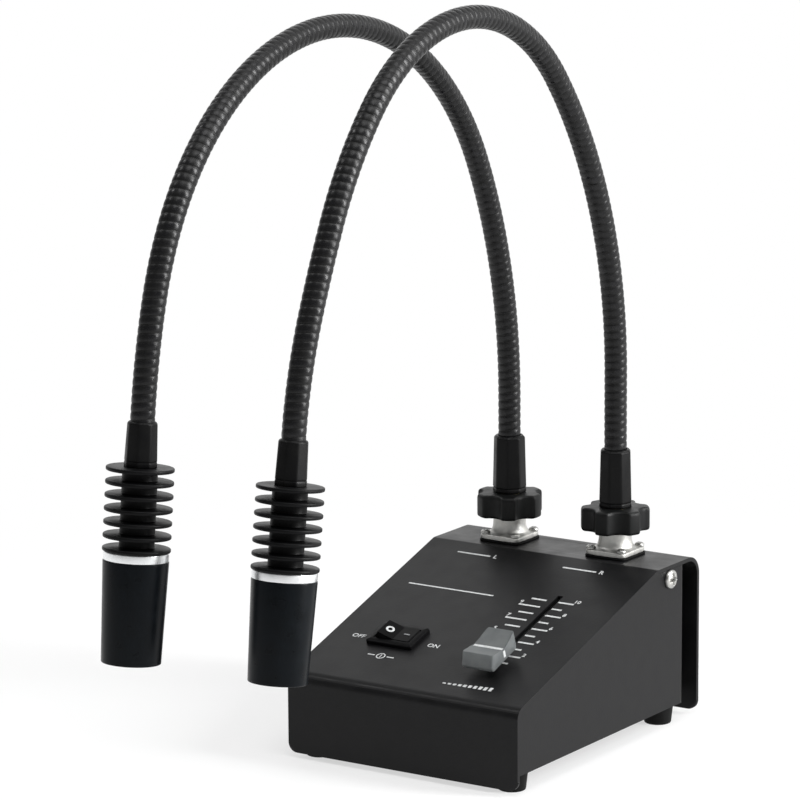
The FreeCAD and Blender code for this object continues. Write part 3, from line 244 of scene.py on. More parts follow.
M = {
    "cover": powder_coat("powder_coat_cover", "101011", "141415"),
    "chassis": powder_coat("powder_coat_chassis", "0f0f10", "131314"),
    "bezel": moulded("black_nylon_bezel", "040405", "070708", 0.46, 0.08),
    "rocker": moulded("black_polycarbonate_rocker", "050505", "080809", 0.42, 0.07),
    "knob": moulded("glass_filled_nylon_knob", "0a0b0b", "0e0f0f", 0.46, 0.2),
    "cap": moulded("grey_abs_cap", "606364", "6a6d6d", 0.55, 0.15),
    "housing": moulded("black_abs_inner", "151516", "1b1b1c", 0.5, 0.3),
    "insulator": moulded("white_pbt_insulator", "cfcbc0", "dad6cb", 0.45, 0.4),
    "boot": moulded("soft_pvc_boot", "050506", "090909", 0.42, 0.15),
    "rubber": soft_rubber("nitrile_rubber_foot", "0f0f0f", "151515"),
    "gasket": soft_rubber("neoprene_gasket", "080808", "0d0d0d"),
    "lead": soft_rubber("black_pvc_lead", "101010", "161616"),
    "neck": wound_coat("lacquered_wound_steel"),
    "sink": anodised("black_anodised_fins", "050506", "080809", 0.44, 0.13),
    "hood": anodised("black_anodised_hood", "070a0d", "0a0e12", 0.3, 0.1),
    "ring": bright_metal("turned_aluminium_ring", "f0f2f3", "fafbfc", 0.32, 0.5),
    "socket": bright_metal("nickel_plated_brass", "bcbcb9", "d2d1cd", 0.5, 0.6),
    "screw": bright_metal("nickel_plated_screw", "a8a9a7", "c4c3bf", 0.36, 0.5),
    "zinc": bright_metal("zinc_plated_steel", "9c9fa0", "b4b7b6", 0.4, 0.8),
    "brass": bright_metal("tinned_brass", "b7a878", "cbbd8e", 0.32, 0.5),
    "led_base": bright_metal("aluminium_led_base", "bfc1c1", "d3d4d4", 0.42, 0.7),
    "ink": screen_ink("white_screen_ink", "b4b6b6", "d0d2d2"),
    "ink_dull": screen_ink("grey_screen_ink", "77797a", "8d8f90"),
    "board": circuit_laminate("green_laminate"),
    # Phosphor-filled silicone over an emitter, unlit: a matt yellow, denser in patches
    "silicone": moulded("phosphor_silicone", "d8b52a", "e9cf62", 0.5, 0.4),
    "lens": clear_acrylic("polished_acrylic"),
}


# Building meshes

def piece(name, body, material, slot, points, faces, sharp_degrees=35.0, stands_for=()):
    """A new piece from points in millimetres. Doubles are merged, faces turned outwards, and edges made
    sharp past an angle."""
    mesh = bpy.data.meshes.new(name)
    mesh.from_pydata((np.asarray(points).reshape(-1, 3) * MM).tolist(), [], np.asarray(faces).tolist())
    work = bmesh.new()
    work.from_mesh(mesh)
    bmesh.ops.remove_doubles(work, verts=work.verts, dist=1e-7)
    bmesh.ops.dissolve_degenerate(work, edges=work.edges, dist=1e-8)
    bmesh.ops.recalc_face_normals(work, faces=work.faces)
    work.to_mesh(mesh)
    work.free()
    return settle(name, mesh, body, material, sharp_degrees, stands_for)


def settle(name, mesh, body, material, sharp_degrees, stands_for):
    """Puts a mesh in the scene as a piece that rides on its body and takes its finish from a slot."""
    mesh.shade_smooth()
    mesh.set_sharp_from_angle(angle=math.radians(sharp_degrees))
    mesh.materials.clear()
    mesh.materials.append(M[material])
    thing = bpy.data.objects.new(name, mesh)
    bpy.context.scene.collection.objects.link(thing)
    if body:
        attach(thing, body)
    if stands_for:
        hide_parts(*stands_for)
    return thing


def grid_faces(rows, columns, first=0, wrap_rows=False):
    """Quads between neighbours of a grid whose columns close on themselves."""
    count = rows if wrap_rows else rows - 1
    row = np.arange(count)[:, None]
    column = np.arange(columns)[None, :]
    below = (row + 1) % rows
    beside = (column + 1) % columns
    corners = [row * columns + column, row * columns + beside,
               below * columns + beside, below * columns + column]
    return np.stack(np.broadcast_arrays(*corners), -1).reshape(-1, 4) + first


SIDE_SHARE = 0.45


def rounded(profile, radius, closed=False, steps=5):
    """Each corner becomes a parabola between points a radius away on its two sides, or a share of a short
    side."""
    profile = np.asarray(profile, float)
    corner = profile if closed else profile[1:-1]
    before = np.roll(profile, 1, 0) if closed else profile[:-2]
    after = np.roll(profile, -1, 0) if closed else profile[2:]
    radius = np.broadcast_to(np.asarray(radius, float), len(corner))[:, None]
    ends = []
    for other in (before, after):
        side = other - corner
        length = np.linalg.norm(side, axis=1, keepdims=True)
        ends.append(corner + side / length * np.minimum(radius, length * SIDE_SHARE))
    t = np.linspace(0, 1, steps)[None, :, None]
    curve = (1 - t) ** 2 * ends[0][:, None] + 2 * t * (1 - t) * corner[:, None] + t ** 2 * ends[1][:, None]
    curve = curve.reshape(-1, 2)
    return curve if closed else np.vstack([profile[:1], curve, profile[-1:]])


def revolved(profile, place, shape=None, around=64, closed=False):
    """Points and faces of a profile (radius, height) carried round a place's third axis. A shape gives the
    share of its radius at each angle."""
    profile = np.asarray(profile, float)
    angle = np.linspace(0, 2 * math.pi, around, endpoint=False)[None, :]
    radius = profile[:, :1] * (1.0 if shape is None else shape(profile, angle))
    points = np.stack(np.broadcast_arrays(
        radius * np.cos(angle), radius * np.sin(angle), profile[:, 1:]), -1)
    return in_place(place, points), grid_faces(len(profile), around, wrap_rows=closed)


def stacked(parts):
    """Several meshes as one list of points and faces."""
    points, faces, first = [], [], 0
    for part_points, part_faces in parts:
        part_points = part_points.reshape(-1, 3)
        points.append(part_points)
        faces.append(part_faces + first)
        first += len(part_points)
    return np.vstack(points), np.vstack(faces)


def slabs(place, boxes):
    """Closed boxes (x from, x to, along from, along to, off from, off to) along a place's axes."""
    boxes = np.asarray(boxes, float)
    x, y, z = boxes[:, [0, 1]], boxes[:, [2, 3]], boxes[:, [4, 5]]
    pick = np.array([(i, j, k) for k in (0, 1) for i, j in ((0, 0), (1, 0), (1, 1), (0, 1))])
    points = np.stack([x[:, pick[:, 0]], y[:, pick[:, 1]], z[:, pick[:, 2]]], -1)
    sides = np.array([(0, 3, 2, 1), (4, 5, 6, 7), (0, 1, 5, 4), (1, 2, 6, 5), (2, 3, 7, 6), (3, 0, 4, 7)])
    faces = (sides[None] + np.arange(len(boxes))[:, None, None] * 8).reshape(-1, 4)
    return in_place(place, points.reshape(-1, 3)), faces


FLAT_AREA = 25.0


def smoothed_node(node, body, material, sharp_degrees=35.0, reshape=None):
    """A copy of a node's mesh with its loose triangles merged, so that its bends shade smoothly."""
    mesh = NODES[node].data.copy()
    work = bmesh.new()
    work.from_mesh(mesh)
    bmesh.ops.remove_doubles(work, verts=work.verts, dist=1e-6)
    work.to_mesh(mesh)
    work.free()
    if reshape:
        flat = np.empty(len(mesh.vertices) * 3, np.float32)
        mesh.vertices.foreach_get("co", flat)
        mesh.vertices.foreach_set("co", (reshape(flat.reshape(-1, 3) / MM) * MM).ravel())
    settle("skin_" + node, mesh, body, material, sharp_degrees, [node])
    level_flats(mesh, sharp_degrees)


def level_flats(mesh, sharp_degrees):
    """Flat faces of some size shade flat, and a bend's corners take the normal of the flat they touch."""
    flats = {}
    for face in mesh.polygons:
        if face.area > FLAT_AREA * MM ** 2:
            for corner in face.vertices:
                flats.setdefault(corner, []).append(face.normal.copy())
    near = math.cos(math.radians(sharp_degrees))
    normals = [Vector(corner.vector) for corner in mesh.corner_normals]
    for face in mesh.polygons:
        for loop in face.loop_indices:
            beside = flats.get(mesh.loops[loop].vertex_index, [])
            closest = max(beside, key=face.normal.dot, default=None)
            if closest and face.normal.dot(closest) > near:
                normals[loop] = closest
    mesh.normals_split_custom_set(normals)


def dressed(node, material):
    """A node that keeps its own mesh gets its material."""
    slots = NODES[node].data.materials
    slots.clear()
    slots.append(M[material])


# Arms

# Each arc of an arm's centre line from the top of its boot: length along it, turn in degrees
ARM_ARCS = {
    "left": ((15.9, 0.0), (102.7, 26.6), (125.9, 60.7), (126.0, 63.4), (30.0, 13.5), (44.2, 9.5)),
    "right": ((30.9, 0.0), (135.1, 40.4), (143.5, 95.7), (48.0, 17.8), (34.0, 4.2), (44.2, 14.2)),
}
ARM_LENGTH = {name: sum(length for length, turn in arcs) for name, arcs in ARM_ARCS.items()}
SHOULDER = 15.0
ELBOW_SHARE = 0.49
WRIST_BACK = 22.0
NECK_TAIL = 19.0
HEAD_GRIP = 18.0
NECK_RADIUS = 4.55
NECK_GROOVE = 0.45
WIND_PITCH = 3.1
WIND_SAMPLES = 10
WIND_FLATNESS = 0.3
FAR = 1e4
CREST_BATCH = 4000


def arm_line(side, along):
    """Centre line of an arm. The point at a length is the sum of each arc's chord up to that length."""
    along = np.asarray(along, float)
    y = np.full(along.shape, SOCKET_Y)
    z = np.full(along.shape, BOOT_TOP)
    angle = np.zeros(along.shape)
    start = 0.0
    for length, turn in ARM_ARCS[side] + ((FAR, 0.0),):
        step = np.clip(along - start, -FAR if start == 0 else 0, length)
        bend = math.radians(turn) / length
        if bend:
            y = y - (np.cos(angle) - np.cos(angle + bend * step)) / bend
            z = z + (np.sin(angle + bend * step) - np.sin(angle)) / bend
            angle = angle + bend * step
        else:
            y = y - step * np.sin(angle)
            z = z + step * np.cos(angle)
        start += length
    points = np.stack([np.full(along.shape, SOCKET_X * SIDES[side]), y, z], -1)
    heading = np.stack([np.zeros(along.shape), -np.sin(angle), np.cos(angle)], -1)
    outward = np.stack([np.zeros(along.shape), np.cos(angle), np.sin(angle)], -1)
    return points, heading, outward


def wound_neck(name, side, low, high, stands_for):
    """A length of wound neck. Its radius is the crest's less a groove, narrow because it falls with a small
    power of the sine of the winding's phase. The phase runs along the neck and back once round it, which
    winds it."""
    rows = int(round((high - low) / WIND_PITCH * WIND_SAMPLES)) + 1
    around = 32
    along = np.linspace(low, high, rows)
    angle = np.linspace(0, 2 * math.pi, around, endpoint=False)
    phase = along[:, None] / WIND_PITCH - angle[None, :] / (2 * math.pi)
    crest = np.abs(np.sin(math.pi * phase)) ** WIND_FLATNESS
    radius = NECK_RADIUS - NECK_GROOVE * (1 - crest)
    centre, _, outward = arm_line(side, along)
    rim = ACROSS * np.cos(angle)[None, :, None] + outward[:, None] * np.sin(angle)[None, :, None]
    points = centre[:, None] + radius[..., None] * rim
    ends = [np.repeat(centre[i][None, None], around, 1) for i in (0, -1)]
    points = np.concatenate([ends[0], points, ends[1]])
    thing = piece(name, None, "neck", "neck_coat", points, grid_faces(rows + 2, around), 80.0)
    mark_crests(thing, side)
    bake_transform(thing)
    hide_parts(*stands_for)


def mark_crests(thing, side):
    """Stores how far each point stands out of the groove, from 0 to 1, for the windings' wear and for their
    painted crest sheen and painted groove shade.
    """
    count = len(thing.data.vertices)
    flat = np.empty(count * 3, np.float32)
    thing.data.vertices.foreach_get("co", flat)
    points = flat.reshape(-1, 3) / MM
    line = np.arange(-NECK_TAIL - 2, ARM_LENGTH[side] + HEAD_GRIP + 2, 1.0)
    centre, heading, _ = arm_line(side, line)
    reach = np.empty(count)
    for start in range(0, count, CREST_BATCH):
        block = points[start:start + CREST_BATCH]
        step = block[:, None] - centre[None]
        nearest = np.argmin((step ** 2).sum(-1), 1)
        offset = block - centre[nearest]
        offset -= (offset * heading[nearest]).sum(-1, keepdims=True) * heading[nearest]
        reach[start:start + CREST_BATCH] = np.linalg.norm(offset, axis=1)
    share = np.clip((reach - (NECK_RADIUS - NECK_GROOVE)) / NECK_GROOVE, 0, 1)
    crest = thing.data.attributes.new("crest", "FLOAT", "POINT")
    crest.data.foreach_set("value", share.astype(np.float32))


def make_necks(side):
    length = ARM_LENGTH[side]
    elbow = length * ELBOW_SHARE
    wrist = length - WRIST_BACK
    low_cut = (SHOULDER + elbow) / 2
    high_cut = (elbow + wrist) / 2
    wound_neck(side + "_neck_skin_low", side, -NECK_TAIL, low_cut,
               [side + "_neck_root"])
    wound_neck(side + "_neck_skin_mid", side, low_cut, high_cut,
               [side + "_neck_riser"])
    wound_neck(side + "_neck_skin_high", side, high_cut, length + HEAD_GRIP,
               [side + "_neck_drop", side + "_neck_tip"])
    for name in ("lead_riser", "lead_drop"):
        dressed(side + "_" + name, "lead")


# Plugs and sockets

KNOB_RADIUS = 13.8
KNOB_THREAD = 6.7
KNOB_WEB = 4.2
VALLEY_RADIUS = 5.6
VALLEY_DEPTH = 2.7
KNOB_LOBES = 6
KNOB_MELT = 0.35
KNOB_TURN = {"left": 30, "right": 6}
BOOT_TURN = {"left": 25, "right": 8}
BOOT_FLATS = 8
FLAT_POWER = 30
FLAT_BULGE = 1.025
PLUG_NECK = 5.3
BARREL_RADIUS = 6.6
BARREL_BORE = 5.35
BARREL_TOP = 79.0
BARREL_TAIL = 58.0
FLANGE_HALF = 9.2
FLANGE_THICK = 2.2
FLARE = 3.2
SQUARE_POWER = 8
SCREW_PITCH = 14.2
BOOT_BASE = 6.8
BOOT_MOUTH = 6.2


def lobed(turn):
    """Share of the full radius at each angle: the smooth minimum, by exponentials, of the rim and of the
    circles that are cut out of it."""
    def shape(profile, angle):
        far = KNOB_RADIUS + VALLEY_RADIUS - VALLEY_DEPTH
        pitch = 2 * math.pi / KNOB_LOBES
        local = (angle - math.radians(turn) + pitch / 2) % pitch - pitch / 2
        inside = VALLEY_RADIUS ** 2 - (far * np.sin(local)) ** 2
        valley = far * np.cos(local) - np.sqrt(np.maximum(inside, 0))
        valley = np.where(inside > 0, valley, KNOB_RADIUS + 3)
        rim = -KNOB_MELT * np.log(np.exp(-valley / KNOB_MELT) + np.exp(-KNOB_RADIUS / KNOB_MELT))
        share = np.clip((profile[:, :1] - KNOB_THREAD - 1) / (KNOB_RADIUS - KNOB_THREAD - 2), 0, 1)
        return 1 + share * (rim / KNOB_RADIUS - 1)
    return shape


def superellipse(angle):
    """Radius of a rounded square of half width 1: the power mean of its axes' cosines, turned over."""
    power = SQUARE_POWER
    return (np.abs(np.cos(angle)) ** power + np.abs(np.sin(angle)) ** power) ** (-1 / power)


def squared(profile, angle):
    """Turns the rings of the flange into rounded squares, the more the further out they lie."""
    square = superellipse(angle)
    share = np.clip((profile[:, :1] - BARREL_RADIUS) / (FLANGE_HALF - BARREL_RADIUS), 0, 1) ** 2
    return 1 + share * (square - 1)


def faceted(turn):
    """Eight flats run down a boot's outside. Its radius is one over a smooth maximum of the cosines of the
    angles to them."""
    def shape(profile, angle):
        pitch = 2 * math.pi / BOOT_FLATS
        flats = math.radians(turn) + pitch / 2 + pitch * np.arange(BOOT_FLATS)[:, None]
        reach = (np.maximum(np.cos(angle - flats), 0) ** FLAT_POWER).sum(0)[None] ** (-1 / FLAT_POWER)
        outer = np.clip(profile[:, :1] - NECK_RADIUS - 0.8, 0, 0.5) / 0.5
        return 1 + outer * (reach * math.cos(pitch / 2) * FLAT_BULGE - 1)
    return shape


def make_coupling(side):
    """Knob, socket and boot of an arm: closed profiles carried round its upright axis, with lobes, a square
    and flats as shares of the radius."""
    place = moved(UPRIGHT, SOCKET_X * SIDES[side], SOCKET_Y, 0)
    web = KNOB_TOP - KNOB_WEB
    outline = rounded([
        (KNOB_THREAD, KNOB_LOW), (KNOB_RADIUS, KNOB_LOW), (KNOB_RADIUS, KNOB_TOP), (PLUG_NECK, KNOB_TOP),
        (PLUG_NECK, web), (KNOB_THREAD, web),
    ], (0.3, 1.5, 1.7, 0.4, 0.2, 0.2), closed=True, steps=7)
    rim = revolved(outline, place, lobed(KNOB_TURN[side]), around=180, closed=True)
    piece(side + "_lobed_knob", side + "_coupling", "knob", "knob_plastic", *rim, 40.0, [side + "_knob"])

    top = FLANGE_LOW + FLANGE_THICK
    flange = rounded([
        (BARREL_BORE, BARREL_TAIL), (BARREL_RADIUS, BARREL_TAIL), (BARREL_RADIUS, FLANGE_LOW),
        (FLANGE_HALF, FLANGE_LOW), (FLANGE_HALF, top - 0.3), (FLANGE_HALF - 0.8, top),
        (BARREL_RADIUS + 0.7, top + 0.7), (BARREL_RADIUS, top + FLARE), (BARREL_RADIUS, BARREL_TOP),
        (BARREL_BORE, BARREL_TOP),
    ], (0.3, 0.3, 0.3, 0.35, 0.4, 0.4, 1.2, 1.6, 0.4, 0.3), closed=True, steps=7)
    piece(side + "_flanged_socket", "base", "socket", "socket_metal",
          *revolved(flange, place, squared, around=128, closed=True), 45.0, [side + "_socket"])

    low = KNOB_TOP + 0.2
    boot = rounded([
        (PLUG_NECK, low), (BOOT_BASE, low), (BOOT_BASE, low + 1.3), (BOOT_BASE - 0.25, low + 1.7),
        (BOOT_BASE, low + 2.2), (BOOT_MOUTH + 0.1, BOOT_TOP - 0.9), (BOOT_MOUTH - 0.7, BOOT_TOP),
        (NECK_RADIUS + 0.1, BOOT_TOP), (NECK_RADIUS + 0.1, BOOT_TOP - NECK_TAIL),
        (PLUG_NECK, BOOT_TOP - NECK_TAIL),
    ], (0.1, 0.3, 0.2, 0.2, 0.2, 0.3, 0.3, 0.2, 0.1, 0.1), closed=True)
    piece(side + "_boot_skin", "base", "boot", "boot_rubber",
          *revolved(boot, place, faceted(BOOT_TURN[side]), around=160, closed=True), 30.0, [side + "_boot"])
    dressed(side + "_plug", "brass")


def make_gaskets():
    """Pads under the flanges: a flat profile carried round, its outer rings squared."""
    half = FLANGE_HALF + 0.35
    profile = rounded([
        (BARREL_RADIUS + 0.1, DECK), (half, DECK), (half, FLANGE_LOW), (BARREL_RADIUS + 0.1, FLANGE_LOW),
    ], (0.1, 0.3, 0.3, 0.1), closed=True)

    def shape(profile, angle):
        """The flange's rounded square, for the gasket's outer rings alone."""
        return np.where(profile[:, :1] > BARREL_RADIUS + 1.2, superellipse(angle), 1.0)

    parts = []
    for sign in SIDES.values():
        place = moved(UPRIGHT, SOCKET_X * sign, SOCKET_Y, 0)
        parts.append(revolved(profile, place, shape, around=96, closed=True))
    piece("gasket_pads", "base", "gasket", "gasket_rubber", *stacked(parts), 45.0, ["socket_gaskets"])


CROSS_HALF = 0.2
CROSS_REACH = 0.66
CROSS_STEEP = 12
CROSS_END_STEEP = 8
DOME_RIM = 0.35
DOME_POWER = 0.98


def screw(place, head, dome, shank, length, cross):
    """A domed screw. Its dome is an ellipse, less a step where either axis is near and the rim is far,
    which makes the cross."""
    rows = np.linspace(0, 1, 14)
    around = 72
    angle = np.linspace(0, 2 * math.pi, around, endpoint=False)[None, :]
    share = rows[:, None]
    x, y = share * np.cos(angle), share * np.sin(angle)
    near_axis = np.clip((CROSS_HALF - np.minimum(np.abs(x), np.abs(y))) * CROSS_STEEP, 0, 1)
    off_rim = np.clip((CROSS_REACH - share) * CROSS_END_STEEP, 0, 1)
    bulge = DOME_RIM + (1 - DOME_RIM) * np.sqrt(1 - DOME_POWER * share ** 2)
    height = dome * bulge - dome * cross * near_axis * off_rim
    cap = np.stack(np.broadcast_arrays(head * x, head * y, height), -1)
    below = np.array([(1.0, 0.0), (shank / head, 0.0), (shank / head, -length), (0.0, -length)])
    radius = head * below[:, :1]
    shaft = np.stack(np.broadcast_arrays(
        radius * np.cos(angle), radius * np.sin(angle), below[:, 1:]), -1)
    points = np.concatenate([cap, shaft])
    return in_place(place, points), grid_faces(len(points), around)


def make_screws():
    """Four screws on each flange, and one in each side of the cover."""
    top = FLANGE_LOW + FLANGE_THICK
    half = SCREW_PITCH / 2
    spots = [moved(UPRIGHT, SOCKET_X * sign + half * i, SOCKET_Y + half * j, top)
             for sign in SIDES.values() for i in (-1, 1) for j in (-1, 1)]
    parts = [screw(spot, head=1.9, dome=1.5, shank=1.0, length=5.0, cross=0.12) for spot in spots]
    piece("flange_screws", "base", "screw", "bright_screw", *stacked(parts), 50.0, ["socket_screws"])
    low, high = low_corner("cover_screws"), high_corner("cover_screws")
    head = (high[2] - low[2]) / 2
    dome = 2.0
    parts = []
    for sign, reach in ((1.0, high[0]), (-1.0, -low[0])):
        centre = np.array([sign * (reach - dome), (low[1] + high[1]) / 2, (low[2] + high[2]) / 2])
        place = (centre, np.array([0, sign, 0]), np.array([0, 0, 1.0]), np.array([sign, 0, 0]))
        parts.append(screw(place, head, dome, shank=2.0, length=8.0, cross=0.9))
    piece("side_screws", "base", "screw", "bright_screw", *stacked(parts), 50.0, ["cover_screws"])


# Lamp heads

HEAD_BOOT = 16.5
FIN_COUNT = 7
FIN_RADIUS = 12.5
FIN_THICK = 1.5
FIN_STACK = 30.8
SINK_CORE = 6.5
SINK_POCKET = 5.0
FIN_EDGE = 0.62
RING_RADIUS = 11.95
RING_HEIGHT = 2.6
RING_NECK = 0.6
HOOD_LENGTH = 37.7
SLEEVE_TOP = 5.5
SLEEVE_BASE = 6.1
HOOD_TOP = 12.1
HOOD_MOUTH = 10.95
HOOD_WALL = 1.3
LENS_RADIUS = 8.6
LENS_BACK = 17.0
LENS_LIP = 0.8
LENS_SEAT = 0.4


def head_place(side):
    """The head's own axes: its third axis points back up the neck, and the boot's top is at 0."""
    points, heading, outward = arm_line(side, np.array([ARM_LENGTH[side]]))
    return (points[0], ACROSS, -outward[0], -heading[0])


def make_head(side):
    """Sleeve, sink, ring and hood of a lamp head: profiles carried round the head's axis, and the fins are
    one profile that steps in and out."""
    place = head_place(side)
    body = side + "_head"
    fit = NECK_RADIUS + 0.1
    sink_top = -HEAD_BOOT
    sink_low = sink_top - FIN_STACK
    ring_top = sink_low - RING_NECK
    ring_low = ring_top - RING_HEIGHT
    mouth = ring_low - HOOD_LENGTH

    boot = rounded([
        (fit, sink_top), (SLEEVE_BASE, sink_top), (SLEEVE_BASE, sink_top + 1.6),
        (SLEEVE_BASE - 0.2, sink_top + 2.0), (SLEEVE_BASE - 0.05, sink_top + 2.5),
        (SLEEVE_TOP + 0.05, -0.8), (SLEEVE_TOP - 0.5, 0), (fit, 0),
    ], (0.1, 0.3, 0.2, 0.2, 0.2, 0.3, 0.3, 0.1), closed=True)
    sleeve = revolved(boot, place, faceted(BOOT_TURN[side]), around=160, closed=True)
    piece(side + "_sleeve_skin", body, "boot", "boot_rubber", *sleeve, 30.0, [side + "_head_boot"])

    pitch = (FIN_STACK - FIN_THICK) / (FIN_COUNT - 1)
    pocket = sink_top - SINK_POCKET
    edges = [(0, pocket), (fit, pocket), (fit, sink_top)]
    for i in range(FIN_COUNT):
        fin_top = sink_top - pitch * i
        if i:
            edges.append((SINK_CORE, fin_top))
        fin_low = fin_top - FIN_THICK
        edges += [(FIN_RADIUS, fin_top), (FIN_RADIUS, fin_low), (SINK_CORE, fin_low)]
    edges.pop()
    edges += [(LENS_RADIUS, sink_low), (LENS_RADIUS, ring_low), (0, ring_low)]
    fins = rounded(edges, FIN_EDGE)
    piece(side + "_finned_sink", body, "sink", "sink_anodised", *revolved(fins, place, around=96), 50.0,
          [side + "_heat_sink"])

    ring = rounded([
        (LENS_RADIUS, ring_low), (RING_RADIUS, ring_low), (RING_RADIUS, ring_top + 0.4),
        (RING_RADIUS - 0.4, sink_low), (LENS_RADIUS, sink_low),
    ], (0.1, 0.3, 0.3, 0.1, 0.1), closed=True)
    piece(side + "_bright_ring", body, "ring", "ring_metal",
          *revolved(ring, place, around=96, closed=True), 50.0, [side + "_clamp_ring"])

    front = mouth + LENS_BACK
    back = ring_low - 1.6
    seat = LENS_RADIUS - LENS_SEAT
    lip = LENS_RADIUS - LENS_LIP
    bore = HOOD_MOUTH - HOOD_WALL
    hood = rounded([
        (seat, ring_low), (HOOD_TOP, ring_low), (HOOD_MOUTH, mouth), (bore, mouth), (bore, front - 1),
        (lip, front - 1), (lip, front), (LENS_RADIUS, front), (LENS_RADIUS, back), (seat, back),
    ], (0.1, 0.5, 0.5, 0.35, 0.2, 0.2, 0.1, 0.1, 0.1, 0.1), closed=True)
    piece(side + "_lamp_hood", body, "hood", "hood_anodised",
          *revolved(hood, place, around=96, closed=True), 45.0, [side + "_hood"])
    for node, material in (("led_board", "led_base"), ("led", "silicone")):
        dressed(side + "_" + node, material)
    smoothed_node(side + "_lens", body, "lens", 30.0)


# Box, switch and fader

# Nodes that keep their own mesh, by the finish they get
INNER = {
    "zinc": ("foot_screws", "board_screws", "board_pillars", "fader_studs", "inlet_nut", "fader_housing"),
    "brass": ("switch_terminals", "socket_contacts"),
    "housing": ("board_parts", "power_inlet", "fader_lever"),
    "board": ("driver_board",),
    "insulator": ("socket_inserts",),
}


def make_box():
    """Cover and tray with their bends smoothed, and four feet, each a closed profile carried round."""
    smoothed_node("cover", "base", "cover")
    smoothed_node("chassis", "base", "chassis")
    low, high = low_corner("rubber_feet"), high_corner("rubber_feet")
    top = float(high[2])
    ledge = top * 0.55
    wide, narrow, hole, shank = 6.3, 5.4, 3.1, 1.7
    profile = rounded([
        (hole, 0), (narrow, 0), (wide, top), (shank, top), (shank, ledge), (hole, ledge),
    ], (0.3, 0.7, 0.3, 0.1, 0.1, 0.2), closed=True)
    parts = []
    for x in (low[0] + wide, high[0] - wide):
        for y in (low[1] + wide, high[1] - wide):
            parts.append(revolved(profile, moved(UPRIGHT, x, y, 0), around=48, closed=True))
    piece("bench_feet", "base", "rubber", "foot_rubber", *stacked(parts), 45.0, ["rubber_feet"])
    for material, nodes in INNER.items():
        for node in nodes:
            dressed(node, material)


SWITCH_X = -23.7
SWITCH_ALONG = 35.9
ROCKER_TURN = math.radians(10)
ROCKER_DROP = 1.5
ROCKER_TOP = 3.65
OPENING = (9.2, 6.2)
DRAWN_IN = (0.95, 0.84)
ROCKER_RISE = 1.21 / 7.21 / DRAWN_IN[0]
MARK_OUT = 3.8
MARK_INK = 0.12
MARK_RING = (0.9, 1.75)
MARK_DASH = (1.2, 0.35)


def rocker_face(sign):
    """A place on one half of the rocker's top: its third axis is square to that half."""
    across = ACROSS * math.cos(ROCKER_TURN) - OFF * math.sin(ROCKER_TURN)
    up = ACROSS * math.sin(ROCKER_TURN) + OFF * math.cos(ROCKER_TURN)
    origin = moved(PANEL, SWITCH_X, SWITCH_ALONG, -ROCKER_DROP)[0]
    tilt = math.atan(ROCKER_RISE) * sign
    side = across * math.cos(tilt) + up * math.sin(tilt)
    face = up * math.cos(tilt) - across * math.sin(tilt)
    centre = origin + across * MARK_OUT * sign + up * (ROCKER_TOP + ROCKER_RISE * MARK_OUT)
    return (centre, side, ALONG, face)


def drawn_in(points):
    """Narrows what lies inside the bezel's rim, as shares of its offsets from the switch's middle."""
    offset = points - moved(PANEL, SWITCH_X, SWITCH_ALONG, 0)[0]
    across, along = offset @ ACROSS, offset @ ALONG
    inside = (np.abs(across) < OPENING[0]) & (np.abs(along) < OPENING[1])
    points = points - (inside * across * (1 - DRAWN_IN[0]))[:, None] * ACROSS
    return points - (inside * along * (1 - DRAWN_IN[1]))[:, None] * ALONG


def make_switch():
    """Frame and rocker, and the rocker's two marks: a ring on the half that is off, a dash on the other."""
    smoothed_node("switch_frame", "base", "bezel", 25.0, drawn_in)
    smoothed_node("rocker", "power_rocker", "rocker", 25.0, drawn_in)
    ink = MARK_INK
    inner, outer = MARK_RING
    across, along = MARK_DASH
    ring = [(inner, -ink), (outer, -ink), (outer, ink), (inner, ink)]
    piece("rocker_mark_off", "power_rocker", "ink", "rocker_plastic",
          *revolved(ring, rocker_face(-1), around=48, closed=True))
    piece("rocker_mark_on", "power_rocker", "ink_dull", "rocker_plastic",
          *slabs(rocker_face(1), [(-across, across, -along, along, -ink, ink)]))


CAP_PROFILE_FRONT = 18.4
CAP_FRONT = 20.6
CAP_LINE = 28.3
CAP_DIP = 7.7
CAP_REAR = 38.0
CAP_HALF = 7.0
CAP_REAR_DRAW = (0.25, 0.08)
CAP_FOOT = 2.7
REAR_RISE, REAR_POWER = 2.9, 1.4
FRONT_RISE, FRONT_POWER = 1.7, 1.3
LINE_HALF = 0.65
FADER_X = 24.3


def cap_height(along):
    """Height of the finger dish above the panel: lowest at the line, it rises to both lips by powers."""
    behind = (along - CAP_LINE) / (CAP_REAR - CAP_LINE)
    before = (CAP_LINE - along) / (CAP_LINE - CAP_FRONT)
    rear = REAR_RISE * np.clip(behind, 0, 2) ** REAR_POWER
    front = FRONT_RISE * np.clip(before, 0, 2) ** FRONT_POWER
    return CAP_DIP + np.where(along > CAP_LINE, rear, front)


